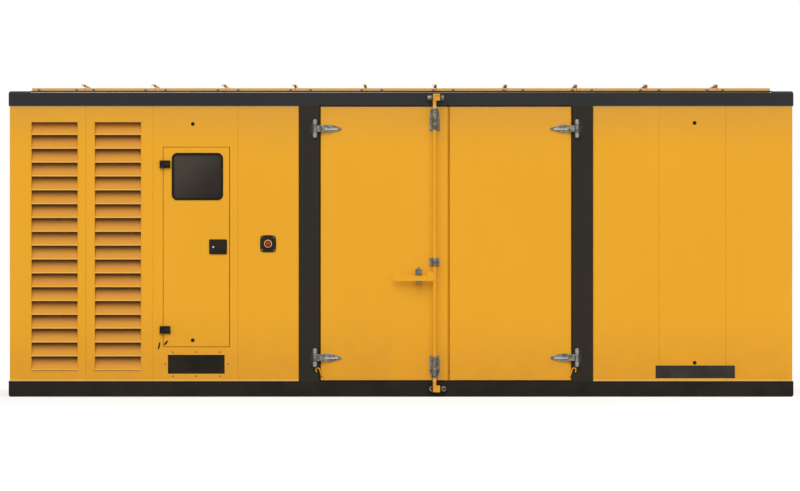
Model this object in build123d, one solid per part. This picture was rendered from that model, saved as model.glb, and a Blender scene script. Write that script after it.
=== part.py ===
from build123d import *
import os

# Overall sizes of the enclosure, in millimetres. The front faces -Y and the origin is bottom centre.
LENGTH = 6058
WIDTH = 2438
BASE_HEIGHT = 120
WALL_HEIGHT = 2125
TOP_RAIL_HEIGHT = 103

# Frame members.
BASE_RAIL_WIDTH = 150
BASE_RAIL_WALL = 10
CROSS_MEMBER_WIDTH = 80
CROSS_MEMBER_WALL = 8
CROSS_MEMBER_PITCH = 520
DECK_THICKNESS = 6
FRAME_CORNER_RADIUS = 20
TOP_RAIL_WIDTH = 120
TOP_END_RAIL_WIDTH = 205
TOP_RAIL_RADIUS = 6
CORNER_BLOCK_SIZE = 162
CORNER_BLOCK_RISE = 10
ROOF_BOW_WIDTH = 50
ROOF_BOW_HEIGHT = 60
PILLAR_WIDTH = 160
PILLAR_DEPTH = 120
CORNER_POST_SIZE = 60

# Wall panels; each stands a little behind the frame and its inner face is a framed lining.
PANEL_SETBACK = 10
END_INSET = 8
WALL_THICKNESS = 80
PANEL_JOINT = 2.5
PANEL_EDGE_RADIUS = 4
LINING_FRAME = 25
LINING_RECESS = 3
STOP_PANEL_WIDTH = 471
DOORWAY_WIDTH = 1947
SIDE_PANEL_COUNT = 3
END_PANEL_COUNT = 4

# Louvre banks; each has a left and a right margin in its wall panel.
LOUVRE_WIDTH = 360
LOUVRE_MARGINS = ((167, 63), (66, 91))
LOUVRE_PITCH = 106.8
LOUVRE_TOP_MARGIN = 124
LOUVRE_BOTTOM_MARGIN = 78
LOUVRE_FRAME = 10
LOUVRE_SETBACK = 18
BLADE_THICKNESS = 4
BLADE_LIP = 14
BLADE_SETBACK = 10
BLADE_OVERLAP = 6

# Roof covers and their standing seams.
ROOF_SEAM_COUNT = 10
ROOF_SEAM_PITCH = 542
ROOF_COVER_THICKNESS = 34
ROOF_COVER_SHEET = 8
ROOF_COVER_RIM = 23
ROOF_COVER_INSET = 14
ROOF_COVER_BEARING = 24
ROOF_COVER_RADIUS = 7
SEAM_HEIGHT = 24
SEAM_FOLD = 21
SEAM_RETURN = 9
SEAM_SHEET = 4

# Doors of the main doorway, with their stops and seals.
DOOR_GAP = 6
DOOR_SEAM = 12
LEFT_LEAF_WIDTH = 982
LEAF_PAN = 24
LEAF_LINING_CLEARANCE = 14
LEAF_LINING_DEPTH = 56
DOOR_EDGE_RADIUS = 6
STOP_LIP = 22
STOP_DEPTH = 20
SEAL_THICKNESS = 11.7
SEAL_WIDTH = 14
SEAT_CLEARANCE = 0.3
EDGE_SEAL_WIDTH = 6
EDGE_SEAL_INSET = 10
EDGE_SEAL_DEPTH = 12

# Strap hinges of the doors.
HINGE_AXIS_ASIDE = 37
KNUCKLE_RADIUS = 17
KNUCKLE_GAP = 1
PIN_RADIUS = 10
PIN_PROUD = 4
RUNNING_CLEARANCE = 0.1
HINGE_HEIGHT = 134
MIDDLE_KNUCKLE = 70
HINGE_FROM_TOP = 176
HINGE_FROM_BOTTOM = 182
STRAP_LENGTH = 205
STRAP_THICKNESS = 9
STRAP_ROOT_HEIGHT = 50
STRAP_WAIST_HEIGHT = 66
STRAP_WAIST_AT = 112
STRAP_TIP_RADIUS = 10
CRANK_LENGTH = 30
CRANK_THICKNESS = 12
CRANK_CLEARANCE = 7
RIB_WIDTH = 18
RIB_HEIGHT = 5
RIB_END_GAP = 28
HINGE_PLATE_WIDTH = 38
HINGE_PLATE_THICKNESS = 8
HINGE_PLATE_INNER_HEIGHT = 94
HINGE_PLATE_OUTER_HEIGHT = 108

# Lock rod, its guides, cams and keepers.
ROD_RADIUS = 14
ROD_FROM_SEAM = 102
ROD_STANDOFF = 52
ROD_BOTTOM = 36
ROD_END_BELOW_TOP = 12
GUIDE_WIDTH = 79
GUIDE_PLATE = 6
GUIDE_WALL = 6
GUIDE_HEAD_WIDTH = 67
GUIDE_HEAD_HEIGHT = 55
GUIDE_HEAD_RADIUS = 26
GUIDE_TAIL_WIDTH = 49
GUIDE_TAIL_HEIGHT = 56
GUIDE_BODY = 120
GUIDE_HOUSING_INSET = 8
GUIDE_FROM_TOP = 12
GUIDE_FROM_BOTTOM = 16
MIDDLE_GUIDE_BOTTOM = 1008
MIDDLE_GUIDE_HEIGHT = 63
CAM_CLEARANCE = 10
CAM_THICKNESS = 26
CAM_HEIGHT = 52
CAM_FLANGE = 14
CAM_FLANGE_WALL = 3
KEEPER_GAP = 8
KEEPER_HEIGHT = 42
KEEPER_NOSE_RADIUS = 20
KEEPER_REACH = 42
KEEPER_LEFT_WIDTH = 32
KEEPER_RIGHT_WIDTH = 20
KEEPER_RING_RADIUS = 19
KEEPER_HOLE_RADIUS = 9

# Handle of the lock rod and the catch that it rests in.
HANDLE_LENGTH = 321
HANDLE_HEIGHT = 44
HANDLE_THICKNESS = 10
HANDLE_END_RADIUS = 20
HANDLE_CENTRE_HEIGHT = 914
HUB_WIDTH = 55
HUB_HEIGHT = 68
HUB_THICKNESS = 18
CATCH_FROM_ROD = 123
CATCH_WIDTH = 50
CATCH_PLATE = 4
CATCH_CLEARANCE = 6
SHELF_THICKNESS = 6
SHELF_NOSE = 6
HASP_THICKNESS = 6
HASP_HEIGHT = 62
HASP_SHOULDER = 18
HASP_TOP_RADIUS = 8
HASP_PIN_RADIUS = 7
HASP_PIN_HEIGHT = 32
HASP_PIN_PROUD = 5
HASP_BOSS_RADIUS = 12

# Round-bar hooks beside the lower hinges.
HOOK_RADIUS = 4.5
HOOK_STANDOFF = 10
HOOK_FROM_EDGE = 15
HOOK_HEIGHT = 36
HOOK_SHANK = 65
HOOK_LEAN = 18
HOOK_NOSE = 28
HOOK_RETURN = 32
HOOK_BEND = 11
HOOK_ROSE_RADIUS = 6.5
HOOK_ROSE_THICKNESS = 4

# Control cabinet door, its window, hinges and latch.
CONTROL_DOOR_MARGINS = (81, 67)
CONTROL_DOOR_WIDTH = 508
CONTROL_DOOR_SILL = 267
CONTROL_DOOR_HEAD = 322
CONTROL_DOOR_GAP = 5
CONTROL_DOOR_THICKNESS = 30
CONTROL_DOOR_REBATE = 36
CONTROL_DOOR_LIP = 20
CONTROL_DOOR_RADIUS = 3
CONTROL_DOOR_HEM = 16
WINDOW_SIDE_MARGINS = (63, 48)
WINDOW_HEIGHT = 365
WINDOW_TOP_MARGIN = 41
WINDOW_RADIUS = 44
GASKET_WIDTH = 17
GASKET_SLEEVE = 11
GASKET_PROUD = 4
GLASS_THICKNESS = 5
GLASS_DEPTH = 12
GLASS_CLEARANCE = 0.2
BLOCK_HEIGHT = 59
BLOCK_PLATE = 8
BLOCK_BODY = 14
BLOCK_FIXED_WIDTH = 29
BLOCK_MOVING_WIDTH = 53
BLOCK_FROM_END = 129
BLOCK_KNUCKLE_RADIUS = 11
BLOCK_KNUCKLE_CLEARANCE = 3
BLOCK_BODY_SETBACK = 6
BLOCK_ARM = 8
BLOCK_NOTCH = 21
BLOCK_PIN_RADIUS = 5
BLOCK_MIDDLE_KNUCKLE = 25
LATCH_WIDTH = 138
LATCH_HEIGHT = 115
LATCH_THICKNESS = 6
LATCH_RADIUS = 10
LATCH_RIGHT_MARGIN = 18
LATCH_ABOVE_MIDDLE = 2
PADDLE_WIDTH = 80
PADDLE_HEIGHT = 72
PADDLE_THICKNESS = 7
PADDLE_RADIUS = 8
PADDLE_MARGIN = 13
PADDLE_GAP = 1
PADDLE_PIN_RADIUS = 2.5
LUG_HEIGHT = 8
LUG_WIDTH = 12

# Emergency stop.
STOP_FROM_LEFT = 232
STOP_CENTRE_HEIGHT = 1061
STOP_PLATE_WIDTH = 112
STOP_PLATE_HEIGHT = 120
STOP_PLATE_BULGE = 6
STOP_PLATE_RADIUS = 14
STOP_PLATE_THICKNESS = 6
COLLAR_RADIUS = 30
COLLAR_WALL = 5
COLLAR_HEIGHT = 10
BUTTON_RADIUS = 19
BUTTON_HEAD = 14
BUTTON_DOME = 7
BUTTON_GAP = 11
STEM_RADIUS = 8
STEM_CLEARANCE = 0.1
STEM_DEPTH = 20
STOP_TRAVEL = 5
STOP_BODY_RADIUS = 14

# Cable entry in the control panel, closed by a dark plate.
ENTRY_MARGINS = (115, 103)
ENTRY_SILL = 57
ENTRY_HEIGHT = 146
ENTRY_PLATE_THICKNESS = 12
ENTRY_RECESS = 4

# Places along the front, from left to right.
WALL_LEFT = -LENGTH / 2 + END_INSET
WALL_RIGHT = LENGTH / 2 - END_INSET
LOUVRE_PANEL_WIDTHS = [left + LOUVRE_WIDTH + right for left, right in LOUVRE_MARGINS]
CONTROL_PANEL_LEFT = WALL_LEFT + sum(LOUVRE_PANEL_WIDTHS)
CONTROL_DOOR_LEFT = CONTROL_PANEL_LEFT + CONTROL_DOOR_MARGINS[0]
CONTROL_DOOR_RIGHT = CONTROL_DOOR_LEFT + CONTROL_DOOR_WIDTH
STOP_PANEL_LEFT = CONTROL_DOOR_RIGHT + CONTROL_DOOR_MARGINS[1]
LEFT_PILLAR = STOP_PANEL_LEFT + STOP_PANEL_WIDTH
DOORWAY_LEFT = LEFT_PILLAR + PILLAR_WIDTH
DOORWAY_RIGHT = DOORWAY_LEFT + DOORWAY_WIDTH
SIDE_PANELS_LEFT = DOORWAY_RIGHT + PILLAR_WIDTH
LEFT_AXIS = DOORWAY_LEFT - HINGE_AXIS_ASIDE
RIGHT_AXIS = DOORWAY_RIGHT + HINGE_AXIS_ASIDE
SEAM_LEFT = DOORWAY_LEFT + DOOR_GAP + LEFT_LEAF_WIDTH
SEAM_RIGHT = SEAM_LEFT + DOOR_SEAM
ROD_X = SEAM_LEFT - ROD_FROM_SEAM
CATCH_X = ROD_X - CATCH_FROM_ROD
STOP_X = STOP_PANEL_LEFT + STOP_FROM_LEFT
LATCH_RIGHT = CONTROL_DOOR_RIGHT - LATCH_RIGHT_MARGIN
PADDLE_X = LATCH_RIGHT - PADDLE_MARGIN
WINDOW_LEFT = CONTROL_DOOR_LEFT + WINDOW_SIDE_MARGINS[0]
WINDOW_RIGHT = CONTROL_DOOR_RIGHT - WINDOW_SIDE_MARGINS[1]
ENTRY_LEFT = CONTROL_PANEL_LEFT + ENTRY_MARGINS[0]
ENTRY_RIGHT = STOP_PANEL_LEFT - ENTRY_MARGINS[1]
SEAM_POSITIONS = [ROOF_SEAM_PITCH * (n - (ROOF_SEAM_COUNT - 1) / 2) for n in range(ROOF_SEAM_COUNT)]

# Depths, from the front face of the frame inwards.
FRAME_FACE = -WIDTH / 2
WALL_FACE = FRAME_FACE + PANEL_SETBACK
WALL_INNER = WALL_FACE + WALL_THICKNESS
LOUVRE_DEPTH = WALL_THICKNESS - LOUVRE_SETBACK
AXIS_Y = FRAME_FACE - KNUCKLE_RADIUS - KNUCKLE_GAP
ROD_Y = FRAME_FACE - ROD_STANDOFF
HANDLE_FRONT = ROD_Y - HANDLE_THICKNESS / 2
CATCH_FRONT = HANDLE_FRONT - CATCH_CLEARANCE
SEAL_Y = WALL_FACE + LEAF_PAN + SEAT_CLEARANCE
STOP_LIP_Y = SEAL_Y + SEAL_THICKNESS
BLOCK_Y = WALL_FACE - BLOCK_KNUCKLE_RADIUS - BLOCK_KNUCKLE_CLEARANCE
PADDLE_Y = WALL_FACE - LATCH_THICKNESS - PADDLE_GAP - PADDLE_THICKNESS / 2
STOP_PLATE_FACE = WALL_FACE - STOP_PLATE_THICKNESS

# Levels, from the ground up.
WALL_TOP = BASE_HEIGHT + WALL_HEIGHT
FRAME_TOP = WALL_TOP + TOP_RAIL_HEIGHT
ROOF_TOP = FRAME_TOP + ROOF_COVER_THICKNESS
DECK_BOTTOM = BASE_HEIGHT - BASE_RAIL_WALL
LOUVRE_ROWS = int((WALL_HEIGHT - LOUVRE_TOP_MARGIN - LOUVRE_BOTTOM_MARGIN) // LOUVRE_PITCH)
LOUVRE_TOP = WALL_TOP - LOUVRE_TOP_MARGIN
LOUVRE_BOTTOM = LOUVRE_TOP - LOUVRE_ROWS * LOUVRE_PITCH
LEAF_BOTTOM = BASE_HEIGHT + DOOR_GAP
LEAF_TOP = WALL_TOP - DOOR_GAP
HINGE_LEVELS = (BASE_HEIGHT + HINGE_FROM_BOTTOM, WALL_TOP - HINGE_FROM_TOP)
ROD_TOP = FRAME_TOP - ROD_END_BELOW_TOP
CAM_REACH = ROD_STANDOFF - CAM_CLEARANCE
HANDLE_BOTTOM = HANDLE_CENTRE_HEIGHT - HANDLE_HEIGHT / 2
SHELF_TOP = HANDLE_BOTTOM - CATCH_CLEARANCE
HASP_BOTTOM = HANDLE_BOTTOM + HANDLE_HEIGHT + CATCH_CLEARANCE
HASP_PIN_Z = HASP_BOTTOM + HASP_PIN_HEIGHT
CONTROL_DOOR_BOTTOM = BASE_HEIGHT + CONTROL_DOOR_SILL
CONTROL_DOOR_TOP = WALL_TOP - CONTROL_DOOR_HEAD
BLOCK_LEVELS = (CONTROL_DOOR_BOTTOM + BLOCK_FROM_END, CONTROL_DOOR_TOP - BLOCK_FROM_END)
LATCH_Z = (CONTROL_DOOR_BOTTOM + CONTROL_DOOR_TOP) / 2 + LATCH_ABOVE_MIDDLE
STOP_Z = BASE_HEIGHT + STOP_CENTRE_HEIGHT
ENTRY_BOTTOM = BASE_HEIGHT + ENTRY_SILL

# How far a cutting shape reaches past the faces that it cuts.
PAST = 1


def slab(x0, x1, y0, y1, z0, z1):
    """Return the box between two opposite corners."""
    return Pos((x0 + x1) / 2, (y0 + y1) / 2, (z0 + z1) / 2) * Box(x1 - x0, y1 - y0, z1 - z0)


def front_plane(y):
    """Return a plane that faces the front (-Y) at a given depth, with X to the right and Z up."""
    return Plane((0, y, 0), x_dir=(1, 0, 0), z_dir=(0, -1, 0))


def front_plate(sketch, y_back, thickness):
    """Extrude an outline drawn in X and Z from y_back towards the front."""
    return extrude(front_plane(y_back) * sketch, amount=thickness)


def upright(radius, x, y, z0, z1):
    """Return a vertical round bar."""
    return Pos(x, y, (z0 + z1) / 2) * Cylinder(radius, z1 - z0)


def outward(radius, x, z, y_back, y_front):
    """Return a round bar that points towards the front."""
    return Pos(x, (y_back + y_front) / 2, z) * Rot(90, 0, 0) * Cylinder(radius, y_back - y_front)


def behind(shape):
    """Return the shape mirrored to the back of the enclosure."""
    return mirror(shape, about=Plane.XZ)


def other_end(shape):
    """Return the shape mirrored to the other end of the enclosure."""
    return mirror(shape, about=Plane.YZ)


def save(name, *shapes):
    """Write the solids of one named piece to its own file."""
    solids = [solid for shape in shapes for solid in shape.solids()]
    export_step(Compound(children=solids), f"parts/{name}.step")


def base_envelope():
    """Outer form of the base: round upright corners and round lower and upper end edges."""
    plan = extrude(RectangleRounded(LENGTH, WIDTH, FRAME_CORNER_RADIUS), amount=BASE_HEIGHT)
    side = RectangleRounded(LENGTH, BASE_HEIGHT, FRAME_CORNER_RADIUS)
    side += Pos(0, BASE_HEIGHT / 4) * Rectangle(LENGTH, BASE_HEIGHT / 2)
    return plan & front_plate(Pos(0, BASE_HEIGHT / 2) * side, WIDTH / 2, WIDTH)


def base_side_rails():
    """Channel rails along the front and the back, open towards the middle and closed at their ends."""
    x, y, wall = LENGTH / 2, WIDTH / 2, BASE_RAIL_WALL
    rail = slab(-x, x, -y, -y + BASE_RAIL_WIDTH, 0, BASE_HEIGHT) & base_envelope()
    rail -= slab(-x + wall, x - wall, -y + wall, -y + BASE_RAIL_WIDTH + PAST, wall, BASE_HEIGHT - wall)
    return [rail, behind(rail)]


def base_end_rails():
    """Channel rails across both ends, between the side rails."""
    x, y, wall = LENGTH / 2, WIDTH / 2 - BASE_RAIL_WIDTH, BASE_RAIL_WALL
    rail = slab(-x, -x + BASE_RAIL_WIDTH, -y, y, 0, BASE_HEIGHT) & base_envelope()
    rail -= slab(-x + wall, -x + BASE_RAIL_WIDTH + PAST, -y - PAST, y + PAST, wall, BASE_HEIGHT - wall)
    return [rail, other_end(rail)]


def base_cross_members():
    """I-section members across the base; their ends sit in the side rails, under the deck."""
    y = WIDTH / 2 - BASE_RAIL_WALL
    bottom, top, wall = BASE_RAIL_WALL, DECK_BOTTOM, CROSS_MEMBER_WALL
    half = CROSS_MEMBER_WIDTH / 2
    member = slab(-half, half, -y, y, bottom, top)
    for side in (-1, 1):
        hollow = sorted((side * wall / 2, side * (half + PAST)))
        member -= slab(*hollow, -y - PAST, y + PAST, bottom + wall, top - wall)
    count = int((LENGTH - 2 * BASE_RAIL_WIDTH) // CROSS_MEMBER_PITCH)
    return [Pos(CROSS_MEMBER_PITCH * (n - (count - 1) / 2), 0, 0) * member for n in range(count)]


def floor_deck():
    """Steel plate that lies on the cross members between the base rails."""
    x, y = LENGTH / 2 - BASE_RAIL_WIDTH, WIDTH / 2 - BASE_RAIL_WIDTH
    return slab(-x, x, -y, y, DECK_BOTTOM, DECK_BOTTOM + DECK_THICKNESS)


def top_frame():
    """Rails round the top between the corner blocks, with a bow under each roof seam."""
    x, y = LENGTH / 2, WIDTH / 2
    inner_x, inner_y = x - TOP_END_RAIL_WIDTH, y - TOP_RAIL_WIDTH
    frame = slab(-x, x, -y, y, WALL_TOP, FRAME_TOP)
    frame = fillet(frame.faces().sort_by(Axis.Z)[-1].edges(), TOP_RAIL_RADIUS)
    frame -= slab(-inner_x, inner_x, -inner_y, inner_y, WALL_TOP - PAST, FRAME_TOP + PAST)
    size = CORNER_BLOCK_SIZE
    for side_x in (-1, 1):
        for side_y in (-1, 1):
            corner = slab(-size, size, -size, size, WALL_TOP - PAST, FRAME_TOP + PAST)
            frame -= Pos(side_x * x, side_y * y, 0) * corner
    half = ROOF_BOW_WIDTH / 2
    for at in SEAM_POSITIONS:
        frame += slab(at - half, at + half, -inner_y, inner_y, FRAME_TOP - ROOF_BOW_HEIGHT, FRAME_TOP)
    return frame


def top_corner_blocks():
    """Raised lifting blocks at the four upper corners, rounded outside."""
    size = CORNER_BLOCK_SIZE
    block = slab(0, size, 0, size, WALL_TOP, FRAME_TOP + CORNER_BLOCK_RISE)
    corner = block.edges().filter_by(Axis.Z).sort_by_distance((0, 0, WALL_TOP))[0]
    top = block.faces().sort_by(Axis.Z)[-1]
    outer = [edge for edge in top.edges() if min(edge.center().X, edge.center().Y) < PAST]
    block = fillet([corner] + outer, FRAME_CORNER_RADIUS)
    left_front = Pos(-LENGTH / 2, -WIDTH / 2, 0) * block
    front = [left_front, other_end(left_front)]
    return front + [behind(shape) for shape in front]


def door_pillar(x, doorway_side):
    """Front pillar with the stop lip that a door closes against; doorway_side is +1 or -1."""
    post = slab(x, x + PILLAR_WIDTH, FRAME_FACE, FRAME_FACE + PILLAR_DEPTH, BASE_HEIGHT, WALL_TOP)
    post = fillet(post.edges().filter_by(Axis.Z).sort_by(Axis.Y)[:2], PANEL_EDGE_RADIUS)
    face = x + PILLAR_WIDTH if doorway_side > 0 else x
    lip = sorted((face, face + doorway_side * STOP_LIP))
    return post + slab(*lip, STOP_LIP_Y, STOP_LIP_Y + STOP_DEPTH, BASE_HEIGHT, WALL_TOP)


def doorway_head_and_sill():
    """Stop bars along the top and the bottom of the doorway, behind the leaves."""
    x0, x1 = DOORWAY_LEFT + STOP_LIP, DOORWAY_RIGHT - STOP_LIP
    y0, y1 = STOP_LIP_Y, STOP_LIP_Y + STOP_DEPTH
    return [slab(x0, x1, y0, y1, BASE_HEIGHT, BASE_HEIGHT + STOP_LIP),
            slab(x0, x1, y0, y1, WALL_TOP - STOP_LIP, WALL_TOP)]


def doorway_seal():
    """Rubber strip on the stop lips, just clear of the leaves."""
    inset = STOP_LIP - SEAL_WIDTH
    ring = slab(DOORWAY_LEFT + inset, DOORWAY_RIGHT - inset, SEAL_Y, STOP_LIP_Y,
                BASE_HEIGHT + inset, WALL_TOP - inset)
    return ring - slab(DOORWAY_LEFT + STOP_LIP, DOORWAY_RIGHT - STOP_LIP, SEAL_Y - PAST, STOP_LIP_Y + PAST,
                       BASE_HEIGHT + STOP_LIP, WALL_TOP - STOP_LIP)


def corner_posts():
    """Square posts inside the four corners of the walls."""
    x, y = -WALL_LEFT - WALL_THICKNESS, -WALL_INNER
    post = slab(x - CORNER_POST_SIZE, x, y - CORNER_POST_SIZE, y, BASE_HEIGHT, WALL_TOP)
    back = [post, other_end(post)]
    return back + [behind(shape) for shape in back]


def wall_panel(x0, x1):
    """Front wall panel with soft outer edges and a framed, recessed lining inside."""
    left, right = x0 + PANEL_JOINT / 2, x1 - PANEL_JOINT / 2
    panel = slab(left, right, WALL_FACE, WALL_INNER, BASE_HEIGHT, WALL_TOP)
    panel = fillet(panel.edges().filter_by(Axis.Z).sort_by(Axis.Y)[:2], PANEL_EDGE_RADIUS)
    recess = slab(left + LINING_FRAME, right - LINING_FRAME, WALL_INNER - LINING_RECESS, WALL_INNER + PAST,
                  BASE_HEIGHT + LINING_FRAME, WALL_TOP - LINING_FRAME)
    return panel - recess


def louvre_panel(x0, x1, margin):
    """Wall panel with the opening of one louvre bank."""
    left = x0 + margin
    return wall_panel(x0, x1) - slab(left, left + LOUVRE_WIDTH, WALL_FACE - PAST, WALL_INNER + PAST,
                                     LOUVRE_BOTTOM, LOUVRE_TOP)


def blade_outline():
    """Section of a blade, depth by height: upright lip at the wall face, then a slope up and inwards."""
    slope_top, run = LOUVRE_PITCH + BLADE_OVERLAP, LOUVRE_DEPTH - BLADE_SETBACK
    inner_knee = BLADE_LIP - BLADE_THICKNESS / 2
    points = [(0, 0), (0, BLADE_LIP), (run, slope_top), (run + BLADE_THICKNESS, slope_top),
              (BLADE_THICKNESS, inner_knee), (BLADE_THICKNESS, 0)]
    return make_face(Polyline(*points, close=True))


def louvre_bank(left):
    """Frame filled with rows of sloping blades that overlap, so that nothing shows through."""
    right, back = left + LOUVRE_WIDTH, WALL_FACE + LOUVRE_DEPTH
    outer = slab(left, right, WALL_FACE, back, LOUVRE_BOTTOM, LOUVRE_TOP)
    bank = outer - slab(left + LOUVRE_FRAME, right - LOUVRE_FRAME, WALL_FACE - PAST, back + PAST,
                        LOUVRE_BOTTOM + LOUVRE_FRAME, LOUVRE_TOP - LOUVRE_FRAME)
    section = Plane((left + LOUVRE_FRAME / 2, WALL_FACE, LOUVRE_BOTTOM), x_dir=(0, 1, 0), z_dir=(1, 0, 0))
    blade = extrude(section * blade_outline(), amount=LOUVRE_WIDTH - LOUVRE_FRAME)
    for row in range(LOUVRE_ROWS):
        bank += (Pos(0, 0, row * LOUVRE_PITCH) * blade) & outer
    return bank


def control_panel():
    """Wall panel with the rebated doorway of the control cabinet and the cable entry."""
    panel = wall_panel(CONTROL_PANEL_LEFT, STOP_PANEL_LEFT)
    gap, lip = CONTROL_DOOR_GAP, CONTROL_DOOR_LIP
    x0, x1 = CONTROL_DOOR_LEFT - gap, CONTROL_DOOR_RIGHT + gap
    z0, z1 = CONTROL_DOOR_BOTTOM - gap, CONTROL_DOOR_TOP + gap
    panel -= slab(x0, x1, WALL_FACE - PAST, WALL_FACE + CONTROL_DOOR_REBATE, z0, z1)
    panel -= slab(x0 + lip, x1 - lip, WALL_FACE - PAST, WALL_INNER + PAST, z0 + lip, z1 - lip)
    return panel - slab(ENTRY_LEFT, ENTRY_RIGHT, WALL_FACE - PAST, WALL_INNER + PAST,
                        ENTRY_BOTTOM, ENTRY_BOTTOM + ENTRY_HEIGHT)


def stop_panel():
    """Wall panel with the hole that takes the body of the emergency stop."""
    depth = WALL_FACE + STEM_DEPTH + 3 * STOP_TRAVEL
    panel = wall_panel(STOP_PANEL_LEFT, LEFT_PILLAR)
    return panel - outward(STOP_BODY_RADIUS, STOP_X, STOP_Z, depth, WALL_FACE - PAST)


def side_panels():
    """Plain wall panels between the right pillar and the right end."""
    width = (WALL_RIGHT - SIDE_PANELS_LEFT) / SIDE_PANEL_COUNT
    starts = [SIDE_PANELS_LEFT + n * width for n in range(SIDE_PANEL_COUNT)]
    return [wall_panel(start, start + width) for start in starts]


def end_wall(make_piece):
    """Pieces of one end wall, made like front pieces and turned to face -X."""
    width = -2 * WALL_INNER / END_PANEL_COUNT
    starts = [WALL_INNER + n * width for n in range(END_PANEL_COUNT)]
    turn = Pos(WALL_LEFT - WALL_FACE, 0, 0) * Rot(0, 0, -90)
    return [turn * make_piece(start, start + width) for start in starts]


def roof_covers():
    """Shallow trays side by side, open below, with a soft edge towards the front and the back."""
    end = LENGTH / 2 - TOP_END_RAIL_WIDTH + ROOF_COVER_BEARING
    y = WIDTH / 2 - ROOF_COVER_INSET
    bounds = [-end] + SEAM_POSITIONS + [end]
    covers = []
    for start, stop in zip(bounds, bounds[1:]):
        x0, x1 = start + PANEL_JOINT / 2, stop - PANEL_JOINT / 2
        cover = slab(x0, x1, -y, y, FRAME_TOP, ROOF_TOP)
        cover = fillet(cover.faces().sort_by(Axis.Z)[-1].edges().filter_by(Axis.X), ROOF_COVER_RADIUS)
        cover -= slab(x0 + ROOF_COVER_RIM, x1 - ROOF_COVER_RIM, -y + ROOF_COVER_RIM, y - ROOF_COVER_RIM,
                      FRAME_TOP - PAST, ROOF_TOP - ROOF_COVER_SHEET)
        covers.append(cover)
    return covers


def roof_seams():
    """Standing seams over the cover joints: an upright sheet folded over to the left and down."""
    sheet, fold = SEAM_SHEET, SEAM_SHEET - SEAM_FOLD
    top, under, end = SEAM_HEIGHT, SEAM_HEIGHT - SEAM_SHEET, SEAM_HEIGHT - SEAM_RETURN
    points = [(0, 0), (sheet, 0), (sheet, top), (fold, top), (fold, end), (fold + sheet, end),
              (fold + sheet, under), (0, under)]
    outline = make_face(Polyline(*points, close=True))
    half = WIDTH / 2 - ROOF_COVER_INSET - ROOF_COVER_RADIUS
    starts = [Plane((at + PANEL_JOINT / 2, half, ROOF_TOP), x_dir=(1, 0, 0), z_dir=(0, -1, 0))
              for at in SEAM_POSITIONS]
    return [extrude(start * outline, amount=2 * half) for start in starts]


def door_leaf(x0, x1):
    """Door leaf: steel pan with round outer edges and a framed lining box set in from its edges."""
    pan = slab(x0, x1, WALL_FACE, WALL_FACE + LEAF_PAN, LEAF_BOTTOM, LEAF_TOP)
    pan = fillet(pan.faces().sort_by(Axis.Y)[0].edges(), DOOR_EDGE_RADIUS)
    inset = STOP_LIP + LEAF_LINING_CLEARANCE - DOOR_GAP
    x0, x1 = x0 + inset, x1 - inset
    z0, z1 = LEAF_BOTTOM + inset, LEAF_TOP - inset
    back = WALL_FACE + LEAF_PAN + LEAF_LINING_DEPTH
    lining = slab(x0, x1, WALL_FACE + LEAF_PAN, back, z0, z1)
    lining -= slab(x0 + LINING_FRAME, x1 - LINING_FRAME, back - LINING_RECESS, back + PAST,
                   z0 + LINING_FRAME, z1 - LINING_FRAME)
    return pan + lining


def door_edge_seal():
    """Soft strip on the free edge of the left leaf, narrower than the gap between the leaves."""
    front = WALL_FACE + EDGE_SEAL_INSET
    return slab(SEAM_LEFT, SEAM_LEFT + EDGE_SEAL_WIDTH, front, front + EDGE_SEAL_DEPTH,
                LEAF_BOTTOM, LEAF_TOP)


def hinge_plate(axis_x, level, away):
    """Fixed half of a strap hinge: flared plate on the pillar, two end knuckles and the pin."""
    half, middle = HINGE_HEIGHT / 2, MIDDLE_KNUCKLE / 2
    inner, outer = HINGE_PLATE_INNER_HEIGHT / 2, HINGE_PLATE_OUTER_HEIGHT / 2
    far = axis_x + away * HINGE_PLATE_WIDTH
    outline = Polyline((axis_x, level - inner), (axis_x, level + inner), (far, level + outer),
                       (far, level - outer), close=True)
    plate = front_plate(make_face(outline), FRAME_FACE, HINGE_PLATE_THICKNESS)
    plate -= upright(KNUCKLE_RADIUS + KNUCKLE_GAP, axis_x, AXIS_Y, level - middle, level + middle)
    for z0, z1 in ((level - half, level - middle), (level + middle, level + half)):
        plate += upright(KNUCKLE_RADIUS, axis_x, AXIS_Y, z0, z1)
    return plate + upright(PIN_RADIUS, axis_x, AXIS_Y, level - half - PIN_PROUD, level + half + PIN_PROUD)


def strap_outline(axis_x, level, towards):
    """Outline of a strap on the leaf: widest at the waist, then tapering to a round tip."""
    root = (HINGE_AXIS_ASIDE + DOOR_GAP, STRAP_ROOT_HEIGHT / 2)
    waist = (STRAP_WAIST_AT, STRAP_WAIST_HEIGHT / 2)
    tip = (STRAP_LENGTH - STRAP_TIP_RADIUS, STRAP_TIP_RADIUS)
    upper = [(axis_x + towards * x, level + z) for x, z in (root, waist, tip)]
    lower = [(x, 2 * level - z) for x, z in reversed(upper)]
    nose = ThreePointArc(upper[-1], (axis_x + towards * STRAP_LENGTH, level), lower[0])
    return make_face(Polyline(*upper) + nose + Polyline(*lower) + Line(lower[-1], upper[0]))


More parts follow.
